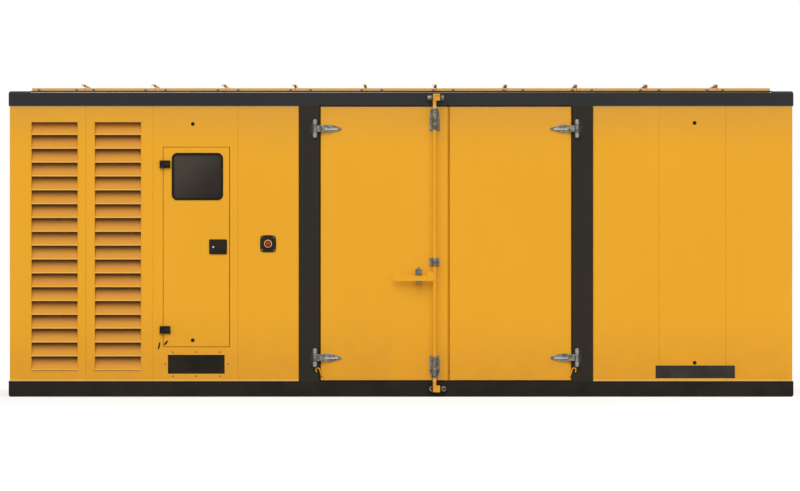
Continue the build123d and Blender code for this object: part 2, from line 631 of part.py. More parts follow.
def hinge_strap(axis_x, level, towards):
    """Moving half of a strap hinge: middle knuckle, crank over the pillar edge and ribbed strap."""
    leaf_edge = HINGE_AXIS_ASIDE + DOOR_GAP
    strap = front_plate(strap_outline(axis_x, level, towards), WALL_FACE, STRAP_THICKNESS)
    rib = sorted(axis_x + towards * x for x in (leaf_edge, STRAP_LENGTH - RIB_END_GAP))
    rib_front = WALL_FACE - STRAP_THICKNESS - RIB_HEIGHT
    strap += slab(*rib, rib_front, WALL_FACE, level - RIB_WIDTH / 2, level + RIB_WIDTH / 2)
    root = STRAP_ROOT_HEIGHT / 2
    crank_back = FRAME_FACE - CRANK_CLEARANCE
    crank_front = crank_back - CRANK_THICKNESS
    whole = sorted((axis_x, axis_x + towards * (leaf_edge + CRANK_LENGTH)))
    seat = sorted((axis_x + towards * leaf_edge, axis_x + towards * (leaf_edge + CRANK_LENGTH)))
    strap += slab(*whole, crank_front, crank_back, level - root, level + root)
    strap += slab(*seat, crank_front, WALL_FACE, level - root, level + root)
    half = MIDDLE_KNUCKLE / 2 - KNUCKLE_GAP
    strap += upright(KNUCKLE_RADIUS, axis_x, AXIS_Y, level - half, level + half)
    return strap - upright(PIN_RADIUS + RUNNING_CLEARANCE, axis_x, AXIS_Y, level - half - PAST,
                           level + half + PAST)


def rod_guide(outline, z0, z1, domes=()):
    """Guide of the lock rod: plate on the leaf and a bored housing round the rod from z0 to z1."""
    radius = ROD_RADIUS + GUIDE_WALL
    guide = front_plate(outline, WALL_FACE, GUIDE_PLATE)
    guide += slab(ROD_X - radius, ROD_X + radius, ROD_Y, WALL_FACE, z0, z1)
    guide += upright(radius, ROD_X, ROD_Y, z0, z1)
    for z in domes:
        guide += Pos(ROD_X, ROD_Y, z) * Sphere(radius)
    return guide - upright(ROD_RADIUS + RUNNING_CLEARANCE, ROD_X, ROD_Y, z0 - radius - PAST, z1 + radius + PAST)


def top_guide():
    """Upper guide: square body under a narrower round head, with a domed upper end round the rod."""
    top = LEAF_TOP - GUIDE_FROM_TOP
    shoulder = top - GUIDE_HEAD_HEIGHT
    middle = shoulder - GUIDE_BODY / 2
    head = RectangleRounded(GUIDE_HEAD_WIDTH, 2 * GUIDE_HEAD_HEIGHT, GUIDE_HEAD_RADIUS)
    outline = Pos(ROD_X, shoulder) * head + Pos(ROD_X, middle) * Rectangle(GUIDE_WIDTH, GUIDE_BODY)
    dome = top - ROD_RADIUS - GUIDE_WALL
    return rod_guide(outline, shoulder - GUIDE_BODY + GUIDE_HOUSING_INSET, dome, [dome])


def middle_guide():
    """Middle guide: a short square plate with a housing as high as itself."""
    middle = MIDDLE_GUIDE_BOTTOM + MIDDLE_GUIDE_HEIGHT / 2
    outline = Pos(ROD_X, middle) * Rectangle(GUIDE_WIDTH, MIDDLE_GUIDE_HEIGHT)
    return rod_guide(outline, MIDDLE_GUIDE_BOTTOM, MIDDLE_GUIDE_BOTTOM + MIDDLE_GUIDE_HEIGHT)


def bottom_guide():
    """Lower guide: square body over a tapering tail, with a domed lower end round the rod."""
    bottom = LEAF_BOTTOM + GUIDE_FROM_BOTTOM
    waist = bottom + GUIDE_TAIL_HEIGHT
    half, tail = GUIDE_WIDTH / 2, GUIDE_TAIL_WIDTH / 2
    outline = Polyline((ROD_X - tail, bottom), (ROD_X + tail, bottom), (ROD_X + half, waist),
                       (ROD_X + half, waist + GUIDE_BODY), (ROD_X - half, waist + GUIDE_BODY),
                       (ROD_X - half, waist), close=True)
    dome = bottom + ROD_RADIUS + GUIDE_WALL
    return rod_guide(make_face(outline), dome, waist + GUIDE_BODY - GUIDE_HOUSING_INSET, [dome])


def catch_bracket():
    """Bracket of the handle catch: plate on the leaf, shelf under the handle and post of the hasp."""
    x0, x1 = CATCH_X - CATCH_WIDTH / 2, CATCH_X + CATCH_WIDTH / 2
    low = SHELF_TOP - SHELF_THICKNESS
    bracket = slab(x0, x1, WALL_FACE - CATCH_PLATE, WALL_FACE, low, HASP_PIN_Z + HASP_BOSS_RADIUS)
    bracket += slab(x0, x1, CATCH_FRONT - SHELF_NOSE, WALL_FACE, low, SHELF_TOP)
    bracket += outward(HASP_BOSS_RADIUS, CATCH_X, HASP_PIN_Z, WALL_FACE, CATCH_FRONT + SEAT_CLEARANCE)
    return bracket + outward(HASP_PIN_RADIUS, CATCH_X, HASP_PIN_Z, WALL_FACE,
                             CATCH_FRONT - HASP_THICKNESS - HASP_PIN_PROUD)


def handle_catch():
    """Teardrop hasp on its pin, just above the handle."""
    half, top = CATCH_WIDTH / 2, HASP_BOTTOM + HASP_HEIGHT
    shoulder, neck = HASP_BOTTOM + HASP_SHOULDER, top - HASP_TOP_RADIUS
    left, right = CATCH_X - half, CATCH_X + half
    neck_left, neck_right = CATCH_X - HASP_TOP_RADIUS, CATCH_X + HASP_TOP_RADIUS
    outline = Line((left, shoulder), (neck_left, neck))
    outline += ThreePointArc((neck_left, neck), (CATCH_X, top), (neck_right, neck))
    outline += Line((neck_right, neck), (right, shoulder))
    outline += ThreePointArc((right, shoulder), (CATCH_X, HASP_BOTTOM), (left, shoulder))
    hasp = front_plate(make_face(outline), CATCH_FRONT, HASP_THICKNESS)
    return hasp - outward(HASP_PIN_RADIUS + RUNNING_CLEARANCE, CATCH_X, HASP_PIN_Z, CATCH_FRONT + PAST,
                          CATCH_FRONT - HASP_THICKNESS - PAST)


def lock_rod():
    """Round rod of the lock gear, from below the lower cam to above the upper one."""
    return upright(ROD_RADIUS, ROD_X, ROD_Y, ROD_BOTTOM, ROD_TOP)


def rod_seat(z0, z1):
    """Space round the lock rod that a welded piece leaves free."""
    return upright(ROD_RADIUS + RUNNING_CLEARANCE, ROD_X, ROD_Y, z0 - PAST, z1 + PAST)


def rod_cam(bottom, flange_bottom):
    """Cam at one end of the lock rod: block seated against the rod, with a wider flange."""
    half, flange = CAM_THICKNESS / 2, ROD_RADIUS + CAM_FLANGE_WALL
    cam = slab(ROD_X, ROD_X + CAM_REACH, ROD_Y - half, ROD_Y + half, bottom, bottom + CAM_HEIGHT)
    cam += slab(ROD_X, ROD_X + CAM_REACH, ROD_Y - flange, ROD_Y + flange,
                flange_bottom, flange_bottom + CAM_FLANGE)
    return cam - rod_seat(bottom, bottom + CAM_HEIGHT)


def rod_cams():
    """Upper cam with its flange on top and lower cam with its flange below."""
    return [rod_cam(ROD_TOP - CAM_HEIGHT, ROD_TOP - CAM_FLANGE), rod_cam(ROD_BOTTOM, ROD_BOTTOM)]


def lock_handle():
    """Flat handle of the lock rod: bar with a round end, and the thicker hub seated against the rod."""
    bar = slab(ROD_X - HANDLE_LENGTH, ROD_X - HUB_WIDTH, HANDLE_FRONT, HANDLE_FRONT + HANDLE_THICKNESS,
               HANDLE_BOTTOM, HANDLE_BOTTOM + HANDLE_HEIGHT)
    bar = fillet(bar.edges().filter_by(Axis.Y).sort_by(Axis.X)[:2], HANDLE_END_RADIUS)
    hub = slab(ROD_X - HUB_WIDTH, ROD_X, ROD_Y - HUB_THICKNESS / 2, ROD_Y + HUB_THICKNESS / 2,
               HANDLE_BOTTOM, HANDLE_BOTTOM + HUB_HEIGHT)
    return [bar, hub - rod_seat(HANDLE_BOTTOM, HANDLE_BOTTOM + HUB_HEIGHT)]


def keeper_ear(x0, x1, bottom):
    """Ear with a round nose that stands out of the frame beside a cam."""
    ear = slab(x0, x1, FRAME_FACE - KEEPER_REACH, FRAME_FACE, bottom, bottom + KEEPER_HEIGHT)
    nose = ear.edges().filter_by(Axis.X).sort_by(Axis.Y)[:2]
    return fillet(nose, KEEPER_NOSE_RADIUS)


def keeper_ring(x, z):
    """Bored boss that stands out of the frame beside a cam."""
    ring = outward(KEEPER_RING_RADIUS, x, z, FRAME_FACE, FRAME_FACE - KEEPER_REACH)
    return ring - outward(KEEPER_HOLE_RADIUS, x, z, FRAME_FACE + PAST, FRAME_FACE - KEEPER_REACH - PAST)


def rod_keepers():
    """Keepers of both cams: two ears above, and below a half boss on the left and a whole one."""
    left = ROD_X - ROD_RADIUS - KEEPER_GAP
    right = ROD_X + CAM_REACH + KEEPER_GAP
    upper, lower = ROD_TOP - CAM_HEIGHT, ROD_BOTTOM + CAM_HEIGHT / 2
    ears = [keeper_ear(left - KEEPER_LEFT_WIDTH, left, upper),
            keeper_ear(right, right + KEEPER_RIGHT_WIDTH, upper)]
    cam_side = slab(left, left + 2 * KEEPER_RING_RADIUS, FRAME_FACE - 2 * KEEPER_REACH, FRAME_FACE + PAST,
                    lower - KEEPER_HEIGHT, lower + KEEPER_HEIGHT)
    return ears + [keeper_ring(left, lower) - cam_side, keeper_ring(right + KEEPER_RING_RADIUS, lower)]


def wind_hook(axis_x, towards):
    """Bent round bar on the leaf beside its lower hinge: rose, shank and down-turned nose."""
    x, y = axis_x + towards * (HINGE_AXIS_ASIDE + HOOK_FROM_EDGE), FRAME_FACE - HOOK_STANDOFF
    z = BASE_HEIGHT + HOOK_HEIGHT
    shank_x = x - towards * HOOK_LEAN
    nose_x = shank_x - towards * HOOK_NOSE
    points = [(x, WALL_FACE, z), (x, y, z), (shank_x, y, z + HOOK_SHANK), (nose_x, y, z + HOOK_SHANK),
              (nose_x + towards * HOOK_BEND / 2, y, z + HOOK_SHANK - HOOK_RETURN)]
    path = FilletPolyline(*points, radius=HOOK_BEND)
    bar = sweep(Plane(path @ 0, z_dir=path % 0) * Circle(HOOK_RADIUS), path)
    return bar + outward(HOOK_ROSE_RADIUS, x, z, WALL_FACE, WALL_FACE - HOOK_ROSE_THICKNESS)


def window_outline(margin):
    """Rounded outline of the window, drawn in X and Z; a margin makes it smaller all round."""
    x = (WINDOW_LEFT + WINDOW_RIGHT) / 2
    z = CONTROL_DOOR_TOP - WINDOW_TOP_MARGIN - WINDOW_HEIGHT / 2
    return Pos(x, z) * RectangleRounded(WINDOW_RIGHT - WINDOW_LEFT - 2 * margin, WINDOW_HEIGHT - 2 * margin,
                                        WINDOW_RADIUS - margin)


def control_door():
    """Control cabinet door, hollowed behind inside a hem, with its window opening."""
    back = WALL_FACE + CONTROL_DOOR_THICKNESS
    x0, x1, hem = CONTROL_DOOR_LEFT, CONTROL_DOOR_RIGHT, CONTROL_DOOR_HEM
    door = slab(x0, x1, WALL_FACE, back, CONTROL_DOOR_BOTTOM, CONTROL_DOOR_TOP)
    door = fillet(door.faces().sort_by(Axis.Y)[0].edges(), CONTROL_DOOR_RADIUS)
    door -= slab(x0 + hem, x1 - hem, back - 2 * LINING_RECESS, back + PAST,
                 CONTROL_DOOR_BOTTOM + hem, CONTROL_DOOR_TOP - hem)
    hole = window_outline(GASKET_WIDTH - GASKET_SLEEVE)
    return door - front_plate(hole, back + PAST, CONTROL_DOOR_THICKNESS + 2 * PAST)


def window_gasket():
    """Rubber profile round the window: a flange on the door and a sleeve through it."""
    inner = window_outline(GASKET_WIDTH)
    flange = front_plate(window_outline(0) - inner, WALL_FACE, GASKET_PROUD)
    sleeve = window_outline(GASKET_WIDTH - GASKET_SLEEVE + GLASS_CLEARANCE) - inner
    return flange + front_plate(sleeve, WALL_FACE + CONTROL_DOOR_THICKNESS, CONTROL_DOOR_THICKNESS)


def window_glass():
    """Tinted pane inside the gasket."""
    outline = window_outline(GASKET_WIDTH + GLASS_CLEARANCE)
    return front_plate(outline, WALL_FACE + GLASS_DEPTH, GLASS_THICKNESS)


def block_hinge_fixed(level):
    """Fixed half of a block hinge: plate and body on the wall panel, two knuckles and the pin."""
    x, radius = CONTROL_DOOR_LEFT, BLOCK_KNUCKLE_RADIUS
    bottom, top = level - BLOCK_HEIGHT / 2, level + BLOCK_HEIGHT / 2
    low, high = level - BLOCK_MIDDLE_KNUCKLE / 2, level + BLOCK_MIDDLE_KNUCKLE / 2
    left, front = x - BLOCK_FIXED_WIDTH, BLOCK_Y - radius
    block = slab(left, x - CONTROL_DOOR_GAP, WALL_FACE - BLOCK_PLATE, WALL_FACE, bottom, top)
    block += slab(left, x, front, BLOCK_Y + radius / 2, bottom, top) + upright(radius, x, BLOCK_Y, bottom, top)
    block -= upright(radius + BLOCK_KNUCKLE_CLEARANCE, x, BLOCK_Y, low, high)
    block -= slab(x - BLOCK_NOTCH, x + PAST, front - PAST, BLOCK_Y, low, high)
    return block + upright(BLOCK_PIN_RADIUS, x, BLOCK_Y, bottom, top)


def block_hinge_moving(level):
    """Moving half of a block hinge: body on the door, and an arm to the middle knuckle."""
    x, half, middle = CONTROL_DOOR_LEFT, BLOCK_HEIGHT / 2, BLOCK_MIDDLE_KNUCKLE / 2 - KNUCKLE_GAP
    block = slab(x + BLOCK_KNUCKLE_RADIUS + BLOCK_BODY_SETBACK, x + BLOCK_MOVING_WIDTH,
                 WALL_FACE - BLOCK_BODY, WALL_FACE, level - half, level + half)
    block += slab(x, x + BLOCK_MOVING_WIDTH, BLOCK_Y - BLOCK_ARM, WALL_FACE - BLOCK_BODY,
                  level - middle, level + middle)
    block += upright(BLOCK_KNUCKLE_RADIUS, x, BLOCK_Y, level - middle, level + middle)
    return block - upright(BLOCK_PIN_RADIUS + RUNNING_CLEARANCE, x, BLOCK_Y, level - half, level + half)


def control_latch():
    """Latch dish on the control door, with the two lugs and the pin of its paddle."""
    half, low = PADDLE_HEIGHT / 2 + KNUCKLE_GAP, LATCH_HEIGHT / 2
    dish = slab(LATCH_RIGHT - LATCH_WIDTH, LATCH_RIGHT, WALL_FACE - LATCH_THICKNESS, WALL_FACE,
                LATCH_Z - low, LATCH_Z + low)
    dish = fillet(dish.edges().filter_by(Axis.Y), LATCH_RADIUS)
    lug_left, lug_front = PADDLE_X - LUG_WIDTH / 2, PADDLE_Y - PADDLE_THICKNESS / 2
    for z in (LATCH_Z - half - LUG_HEIGHT, LATCH_Z + half):
        dish += slab(lug_left, lug_left + LUG_WIDTH, lug_front, WALL_FACE, z, z + LUG_HEIGHT)
    return dish + upright(PADDLE_PIN_RADIUS, PADDLE_X, PADDLE_Y, LATCH_Z - half - PAST, LATCH_Z + half + PAST)


def latch_paddle():
    """Paddle that is pulled open at its left edge and turns on a pin at its right edge."""
    half = PADDLE_HEIGHT / 2
    front = PADDLE_Y - PADDLE_THICKNESS / 2
    paddle = slab(PADDLE_X - PADDLE_WIDTH, PADDLE_X, front, front + PADDLE_THICKNESS,
                  LATCH_Z - half, LATCH_Z + half)
    paddle = fillet(paddle.edges().filter_by(Axis.Y).sort_by(Axis.X)[:2], PADDLE_RADIUS)
    paddle += upright(PADDLE_THICKNESS / 2, PADDLE_X, PADDLE_Y, LATCH_Z - half, LATCH_Z + half)
    return paddle - upright(PADDLE_PIN_RADIUS + RUNNING_CLEARANCE, PADDLE_X, PADDLE_Y, LATCH_Z - half - PAST,
                            LATCH_Z + half + PAST)


def stop_plate():
    """Plate of the emergency stop, with bulging sides and the hole of the stem."""
    half_x, half_z, bulge = STOP_PLATE_WIDTH / 2, STOP_PLATE_HEIGHT / 2, STOP_PLATE_BULGE
    corners = [(half_x, half_z), (-half_x, half_z), (-half_x, -half_z), (half_x, -half_z)]
    middles = [(0, half_z + bulge), (-half_x - bulge, 0), (0, -half_z - bulge), (half_x + bulge, 0)]
    sides = [ThreePointArc(corners[n], middles[n], corners[(n + 1) % 4]) for n in range(4)]
    outline = make_face(sides[0] + sides[1] + sides[2] + sides[3])
    plate = front_plate(Pos(STOP_X, STOP_Z) * outline, WALL_FACE, STOP_PLATE_THICKNESS)
    plate = fillet(plate.edges().filter_by(Axis.Y), STOP_PLATE_RADIUS)
    return plate - outward(STEM_RADIUS + STEM_CLEARANCE, STOP_X, STOP_Z, WALL_FACE + PAST, STOP_PLATE_FACE - PAST)


def stop_collar():
    """Ring on the plate round the button."""
    front = STOP_PLATE_FACE - COLLAR_HEIGHT
    ring = outward(COLLAR_RADIUS, STOP_X, STOP_Z, STOP_PLATE_FACE, front)
    return ring - outward(COLLAR_RADIUS - COLLAR_WALL, STOP_X, STOP_Z, STOP_PLATE_FACE + PAST, front - PAST)


def stop_button():
    """Mushroom button: domed head on a stem that slides in the plate."""
    back = STOP_PLATE_FACE - BUTTON_GAP
    head = outward(BUTTON_RADIUS, STOP_X, STOP_Z, back, back - BUTTON_HEAD)
    head = fillet(head.faces().sort_by(Axis.Y)[0].edges(), BUTTON_DOME)
    return head + outward(STEM_RADIUS, STOP_X, STOP_Z, WALL_FACE + STEM_DEPTH, back)


def cable_entry_plate():
    """Plate that closes the cable entry, set a little behind the wall face."""
    front = WALL_FACE + ENTRY_RECESS
    return slab(ENTRY_LEFT, ENTRY_RIGHT, front, front + ENTRY_PLATE_THICKNESS,
                ENTRY_BOTTOM, ENTRY_BOTTOM + ENTRY_HEIGHT)


def save_frame():
    """Write the load-carrying frame, the floor and the doorway's surround and seal."""
    save("base_rails", *base_side_rails(), *base_end_rails())
    save("base_cross_members", *base_cross_members())
    save("floor_deck", floor_deck())
    save("top_frame", top_frame())
    save("top_corner_blocks", *top_corner_blocks())
    surround = [door_pillar(LEFT_PILLAR, 1), door_pillar(DOORWAY_RIGHT, -1)] + doorway_head_and_sill()
    save("doorway_frames", *surround, *[behind(bar) for bar in surround])
    save("corner_posts", *corner_posts())
    save("doorway_seal", doorway_seal())


def save_walls():
    """Write the wall panels and the louvre banks of all four sides."""
    starts = (WALL_LEFT, WALL_LEFT + LOUVRE_PANEL_WIDTHS[0])
    louvred, banks = [], []
    for start, width, margins in zip(starts, LOUVRE_PANEL_WIDTHS, LOUVRE_MARGINS):
        louvred.append(louvre_panel(start, start + width, margins[0]))
        banks.append(louvre_bank(start + margins[0]))
    sides = side_panels()
    save("front_louvre_panels", *louvred)
    save("front_louvres", *banks)
    save("control_panel", control_panel())
    save("stop_panel", stop_panel())
    save("front_side_panels", *sides)
    plain = [wall_panel(CONTROL_PANEL_LEFT, STOP_PANEL_LEFT), wall_panel(STOP_PANEL_LEFT, LEFT_PILLAR)]
    save("back_panels", *[behind(panel) for panel in louvred + plain + sides])
    save("back_louvres", *[behind(bank) for bank in banks])
    margin = (-2 * WALL_INNER / END_PANEL_COUNT - LOUVRE_WIDTH) / 2
    save("left_end_panels", *end_wall(lambda start, stop: louvre_panel(start, stop, margin)))
    save("left_end_louvres", *end_wall(lambda start, stop: louvre_bank(start + margin)))
    save("right_end_panels", *[other_end(panel) for panel in end_wall(wall_panel)])


def save_roof():
    """Write the roof covers and their standing seams."""
    save("roof_covers", *roof_covers())
    save("roof_seams", *roof_seams())


def save_doors():
    """Write the front doors with their hinges and lock gear, and the same set behind, closed."""
    left_leaf = [door_leaf(DOORWAY_LEFT + DOOR_GAP, SEAM_LEFT), wind_hook(LEFT_AXIS, 1)]
    right_leaf = [door_leaf(SEAM_RIGHT, DOORWAY_RIGHT - DOOR_GAP), wind_hook(RIGHT_AXIS, -1)]
    left_straps = [hinge_strap(LEFT_AXIS, level, 1) for level in HINGE_LEVELS]
    right_straps = [hinge_strap(RIGHT_AXIS, level, -1) for level in HINGE_LEVELS]
    plates = [hinge_plate(LEFT_AXIS, level, -1) for level in HINGE_LEVELS]
    plates += [hinge_plate(RIGHT_AXIS, level, 1) for level in HINGE_LEVELS]
    brackets = [top_guide(), middle_guide(), bottom_guide(), catch_bracket()]
    hasp, rod, cams, handle, keepers = handle_catch(), lock_rod(), rod_cams(), lock_handle(), rod_keepers()
    save("left_door_leaf", *left_leaf)
    save("right_door_leaf", *right_leaf)
    save("door_edge_seal", door_edge_seal())
    save("left_hinge_straps", *left_straps)
    save("right_hinge_straps", *right_straps)
    save("hinge_plates", *plates)
    save("rod_guides", *brackets)
    save("handle_catch", hasp)
    save("lock_rod", rod)
    save("rod_cams", *cams)
    save("lock_handle", *handle)
    save("rod_keepers", *keepers)
    save("back_doors", *[behind(piece) for piece in left_leaf + right_leaf + [rod] + cams + handle])
    fittings = left_straps + right_straps + plates + brackets + [hasp] + keepers
    save("back_door_fittings", *[behind(piece) for piece in fittings])


def save_control_cabinet():
    """Write the control cabinet door, the emergency stop and the cable entry."""
    save("control_door", control_door())
    save("window_gasket", window_gasket())
    save("window_glass", window_glass())
    save("control_hinge_blocks", *[block_hinge_fixed(level) for level in BLOCK_LEVELS])
    save("control_hinge_leaves", *[block_hinge_moving(level) for level in BLOCK_LEVELS])
    save("control_latch", control_latch())
    save("latch_paddle", latch_paddle())
    save("stop_plate", stop_plate())
    save("stop_collar", stop_collar())
    save("stop_button", stop_button())
    save("cable_entry_plate", cable_entry_plate())


os.makedirs("parts", exist_ok=True)
save_frame()
save_walls()
save_roof()
save_doors()
save_control_cabinet()
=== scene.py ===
import math

import bmesh
import bpy
import numpy as np
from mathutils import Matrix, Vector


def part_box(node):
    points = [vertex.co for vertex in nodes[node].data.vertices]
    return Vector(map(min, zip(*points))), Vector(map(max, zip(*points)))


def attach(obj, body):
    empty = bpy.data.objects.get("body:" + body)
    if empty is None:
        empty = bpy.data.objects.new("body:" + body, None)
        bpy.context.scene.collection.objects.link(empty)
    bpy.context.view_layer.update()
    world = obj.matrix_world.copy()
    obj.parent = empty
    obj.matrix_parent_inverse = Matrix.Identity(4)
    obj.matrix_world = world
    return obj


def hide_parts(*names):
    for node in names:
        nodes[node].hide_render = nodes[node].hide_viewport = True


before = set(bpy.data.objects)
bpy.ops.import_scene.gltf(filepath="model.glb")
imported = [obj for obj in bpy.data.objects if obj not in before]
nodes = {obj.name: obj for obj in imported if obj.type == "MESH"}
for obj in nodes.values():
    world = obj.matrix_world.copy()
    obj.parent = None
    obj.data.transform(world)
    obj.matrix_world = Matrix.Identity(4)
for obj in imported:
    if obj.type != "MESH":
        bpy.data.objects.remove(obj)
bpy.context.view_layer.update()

# Camera: level and square to the long side with the doors, far away on a long lens, so that the
# enclosure is seen almost without perspective.
VIEW_CENTRE_X = -0.008
VIEW_CENTRE_Z = 1.167
VIEW_WIDTH = 6.1736
VIEW_DISTANCE = 40.0
WALL_FRONT = -1.209
SENSOR_WIDTH = 36.0

lens = bpy.data.cameras.new("camera")
lens.sensor_fit = "HORIZONTAL"
lens.sensor_width = SENSOR_WIDTH
lens.lens = SENSOR_WIDTH * VIEW_DISTANCE / VIEW_WIDTH
lens.clip_end = 5 * VIEW_DISTANCE
camera = bpy.data.objects.new("camera", lens)
camera.location = (VIEW_CENTRE_X, WALL_FRONT - VIEW_DISTANCE, VIEW_CENTRE_Z)
camera.rotation_euler = (math.pi / 2, 0, 0)
bpy.context.scene.collection.objects.link(camera)
bpy.context.scene.camera = camera


def add_node(tree, kind, inputs=None, **settings):
    """Add a shader node. Its inputs, by name or number, take a value or the socket that feeds them."""
    made = tree.nodes.new(kind)
    for key, value in settings.items():
        setattr(made, key, value)
    for key, value in (inputs or {}).items():
        if isinstance(value, bpy.types.NodeSocket):
            tree.links.new(value, made.inputs[key])
        else:
            made.inputs[key].default_value = value
    return made


def calc(tree, operation, *values, clamp=False):
    """Output of a Math node on numbers or sockets."""
    made = add_node(tree, "ShaderNodeMath", dict(enumerate(values)), operation=operation, use_clamp=clamp)
    return made.outputs[0]


def seen_directly(tree):
    """1 for camera, glossy and transmission rays, and 0 for the rays that light the object."""
    path = add_node(tree, "ShaderNodeLightPath").outputs
    reflected = calc(tree, "MAXIMUM", path["Is Glossy Ray"], path["Is Transmission Ray"])
    return calc(tree, "MAXIMUM", path["Is Camera Ray"], reflected)


# Studio: a white surround that lights at a lower level than it shows, a broad lamp above the front
# and one low before it that softens its shadows, a lamp above the back, and a pale floor. Each lamp
# has its strength, its width, and its bearing and height, in degrees.
WHITE = (1, 1, 1, 1)
SURROUND_LIGHT = 0.43
FLOOR_SIZE = 300.0
FLOOR_COLOR = (0.4, 0.395, 0.385, 1.0)
FLOOR_LIFT = 0.6
LAMPS = (("front_lamp", 1.9, 55.0, (-16.0, 50.0)), ("low_front_lamp", 0.74, 60.0, (14.0, 10.0)),
         ("back_lamp", 1.35, 40.0, (155.0, 38.0)))

world = bpy.data.worlds.new("white_surround")
world.use_nodes = True
tree = world.node_tree
tree.nodes.clear()
lighting = add_node(tree, "ShaderNodeBackground", {"Color": WHITE, "Strength": SURROUND_LIGHT})
backdrop = add_node(tree, "ShaderNodeBackground", {"Color": WHITE, "Strength": 1.0})
surround = add_node(tree, "ShaderNodeMixShader", {0: seen_directly(tree), 1: lighting.outputs[0],
                                                  2: backdrop.outputs[0]})
add_node(tree, "ShaderNodeOutputWorld", {"Surface": surround.outputs[0]})
bpy.context.scene.world = world
bpy.context.scene.view_settings.view_transform = "Standard"

for name, strength, softness, (bearing, height) in LAMPS:
    lamp = bpy.data.lights.new(name, "SUN")
    lamp.energy = strength
    lamp.angle = math.radians(softness)
    lamp_object = bpy.data.objects.new(name, lamp)
    lamp_object.rotation_euler = (math.radians(90 - height), 0, math.radians(bearing))
    bpy.context.scene.collection.objects.link(lamp_object)

floor_paint = bpy.data.materials.new("studio_floor")
floor_paint.use_nodes = True
tree = floor_paint.node_tree
tree.nodes.clear()
matt = add_node(tree, "ShaderNodeBsdfDiffuse", {"Color": FLOOR_COLOR})
brightness = calc(tree, "MULTIPLY", seen_directly(tree), FLOOR_LIFT)
lift = add_node(tree, "ShaderNodeEmission", {"Color": WHITE, "Strength": brightness})
lifted = add_node(tree, "ShaderNodeAddShader", {0: matt.outputs[0], 1: lift.outputs[0]})
add_node(tree, "ShaderNodeOutputMaterial", {"Surface": lifted.outputs[0]})
half = FLOOR_SIZE / 2
floor_mesh = bpy.data.meshes.new("studio_floor")
floor_corners = [(-half, -half, 0), (half, -half, 0), (half, half, 0), (-half, half, 0)]
floor_mesh.from_pydata(floor_corners, [], [(0, 1, 2, 3)])
floor_mesh.materials.append(floor_paint)
floor = bpy.data.objects.new("studio_floor", floor_mesh)
bpy.context.scene.collection.objects.link(floor)


def mix_colors(tree, factor, first, second):
    """Output of a colour mix."""
    return add_node(tree, "ShaderNodeMix", {0: factor, 6: first, 7: second}, data_type="RGBA").outputs[2]


def fade(tree, value, low, high, start=0.0, stop=1.0):
    """Smooth step of a value from start, below low, to stop, above high."""
    limits = {"Value": value, "From Min": low, "From Max": high, "To Min": start, "To Max": stop}
    return add_node(tree, "ShaderNodeMapRange", limits, interpolation_type="SMOOTHSTEP").outputs["Result"]


def coordinates(tree, kind="Object"):
    """Object coordinates, or the normal in the same axes."""
    return add_node(tree, "ShaderNodeTexCoord").outputs[kind]


def axes_of(tree, kind="Object"):
    """X, Y and Z of the Object coordinates, or of the Normal."""
    return add_node(tree, "ShaderNodeSeparateXYZ", {0: coordinates(tree, kind)}).outputs


def noise(tree, scale, detail=2.0, stretch=None):
    """Noise on Object coordinates, in features per metre, with its axes stretched if asked."""
    place = coordinates(tree)
    if stretch:
        place = add_node(tree, "ShaderNodeMapping", {"Vector": place, "Scale": stretch}).outputs[0]
    inputs = {"Vector": place, "Scale": scale, "Detail": detail}
    return add_node(tree, "ShaderNodeTexNoise", inputs).outputs["Fac"]


def new_group(name, inputs, outputs):
    """Shader node group with named sockets; returns its tree, its inputs and its output node."""
    tree = bpy.data.node_groups.new(name, "ShaderNodeTree")
    for label, kind, value in inputs:
        tree.interface.new_socket(label, in_out="INPUT", socket_type=kind).default_value = value
    for label, kind in outputs:
        tree.interface.new_socket(label, in_out="OUTPUT", socket_type=kind)
    return tree, tree.nodes.new("NodeGroupInput").outputs, tree.nodes.new("NodeGroupOutput")


def use_group(tree, group, inputs=None):
    """Place a node group in a material with its own values; returns its outputs."""
    return add_node(tree, "ShaderNodeGroup", inputs, node_tree=group).outputs


# Rounded edges: sheet and section edges catch the light as if broken by the given radius, and the
# mask is 1 along them, where paint wears first.
edge_group, given, output = new_group(
    "rounded_edges", [("Radius", "NodeSocketFloat", 0.002), ("Wear Width", "NodeSocketFloat", 0.006)],
    [("Normal", "NodeSocketVector"), ("Edge", "NodeSocketFloat")])
tree = edge_group
broken = add_node(tree, "ShaderNodeBevel", {"Radius": given["Radius"]}, samples=4)
spread = add_node(tree, "ShaderNodeBevel", {"Radius": given["Wear Width"]}, samples=4)
flat = add_node(tree, "ShaderNodeNewGeometry").outputs["Normal"]
facing = add_node(tree, "ShaderNodeVectorMath", {0: spread.outputs[0], 1: flat}, operation="DOT_PRODUCT")
tree.links.new(broken.outputs[0], output.inputs["Normal"])
tree.links.new(fade(tree, facing.outputs["Value"], 0.75, 0.985, 1.0, 0.0), output.inputs["Edge"])

# Coat grain: the fine orange-peel relief of sprayed or moulded surfaces, of a given size in metres.
grain_group, given, output = new_group("coat_grain", [("Size", "NodeSocketFloat", 0.003)],
                                       [("Height", "NodeSocketFloat")])
tree = grain_group
per_metre = calc(tree, "DIVIDE", 1.0, given["Size"])
tree.links.new(noise(tree, per_metre, 1.0), output.inputs["Height"])

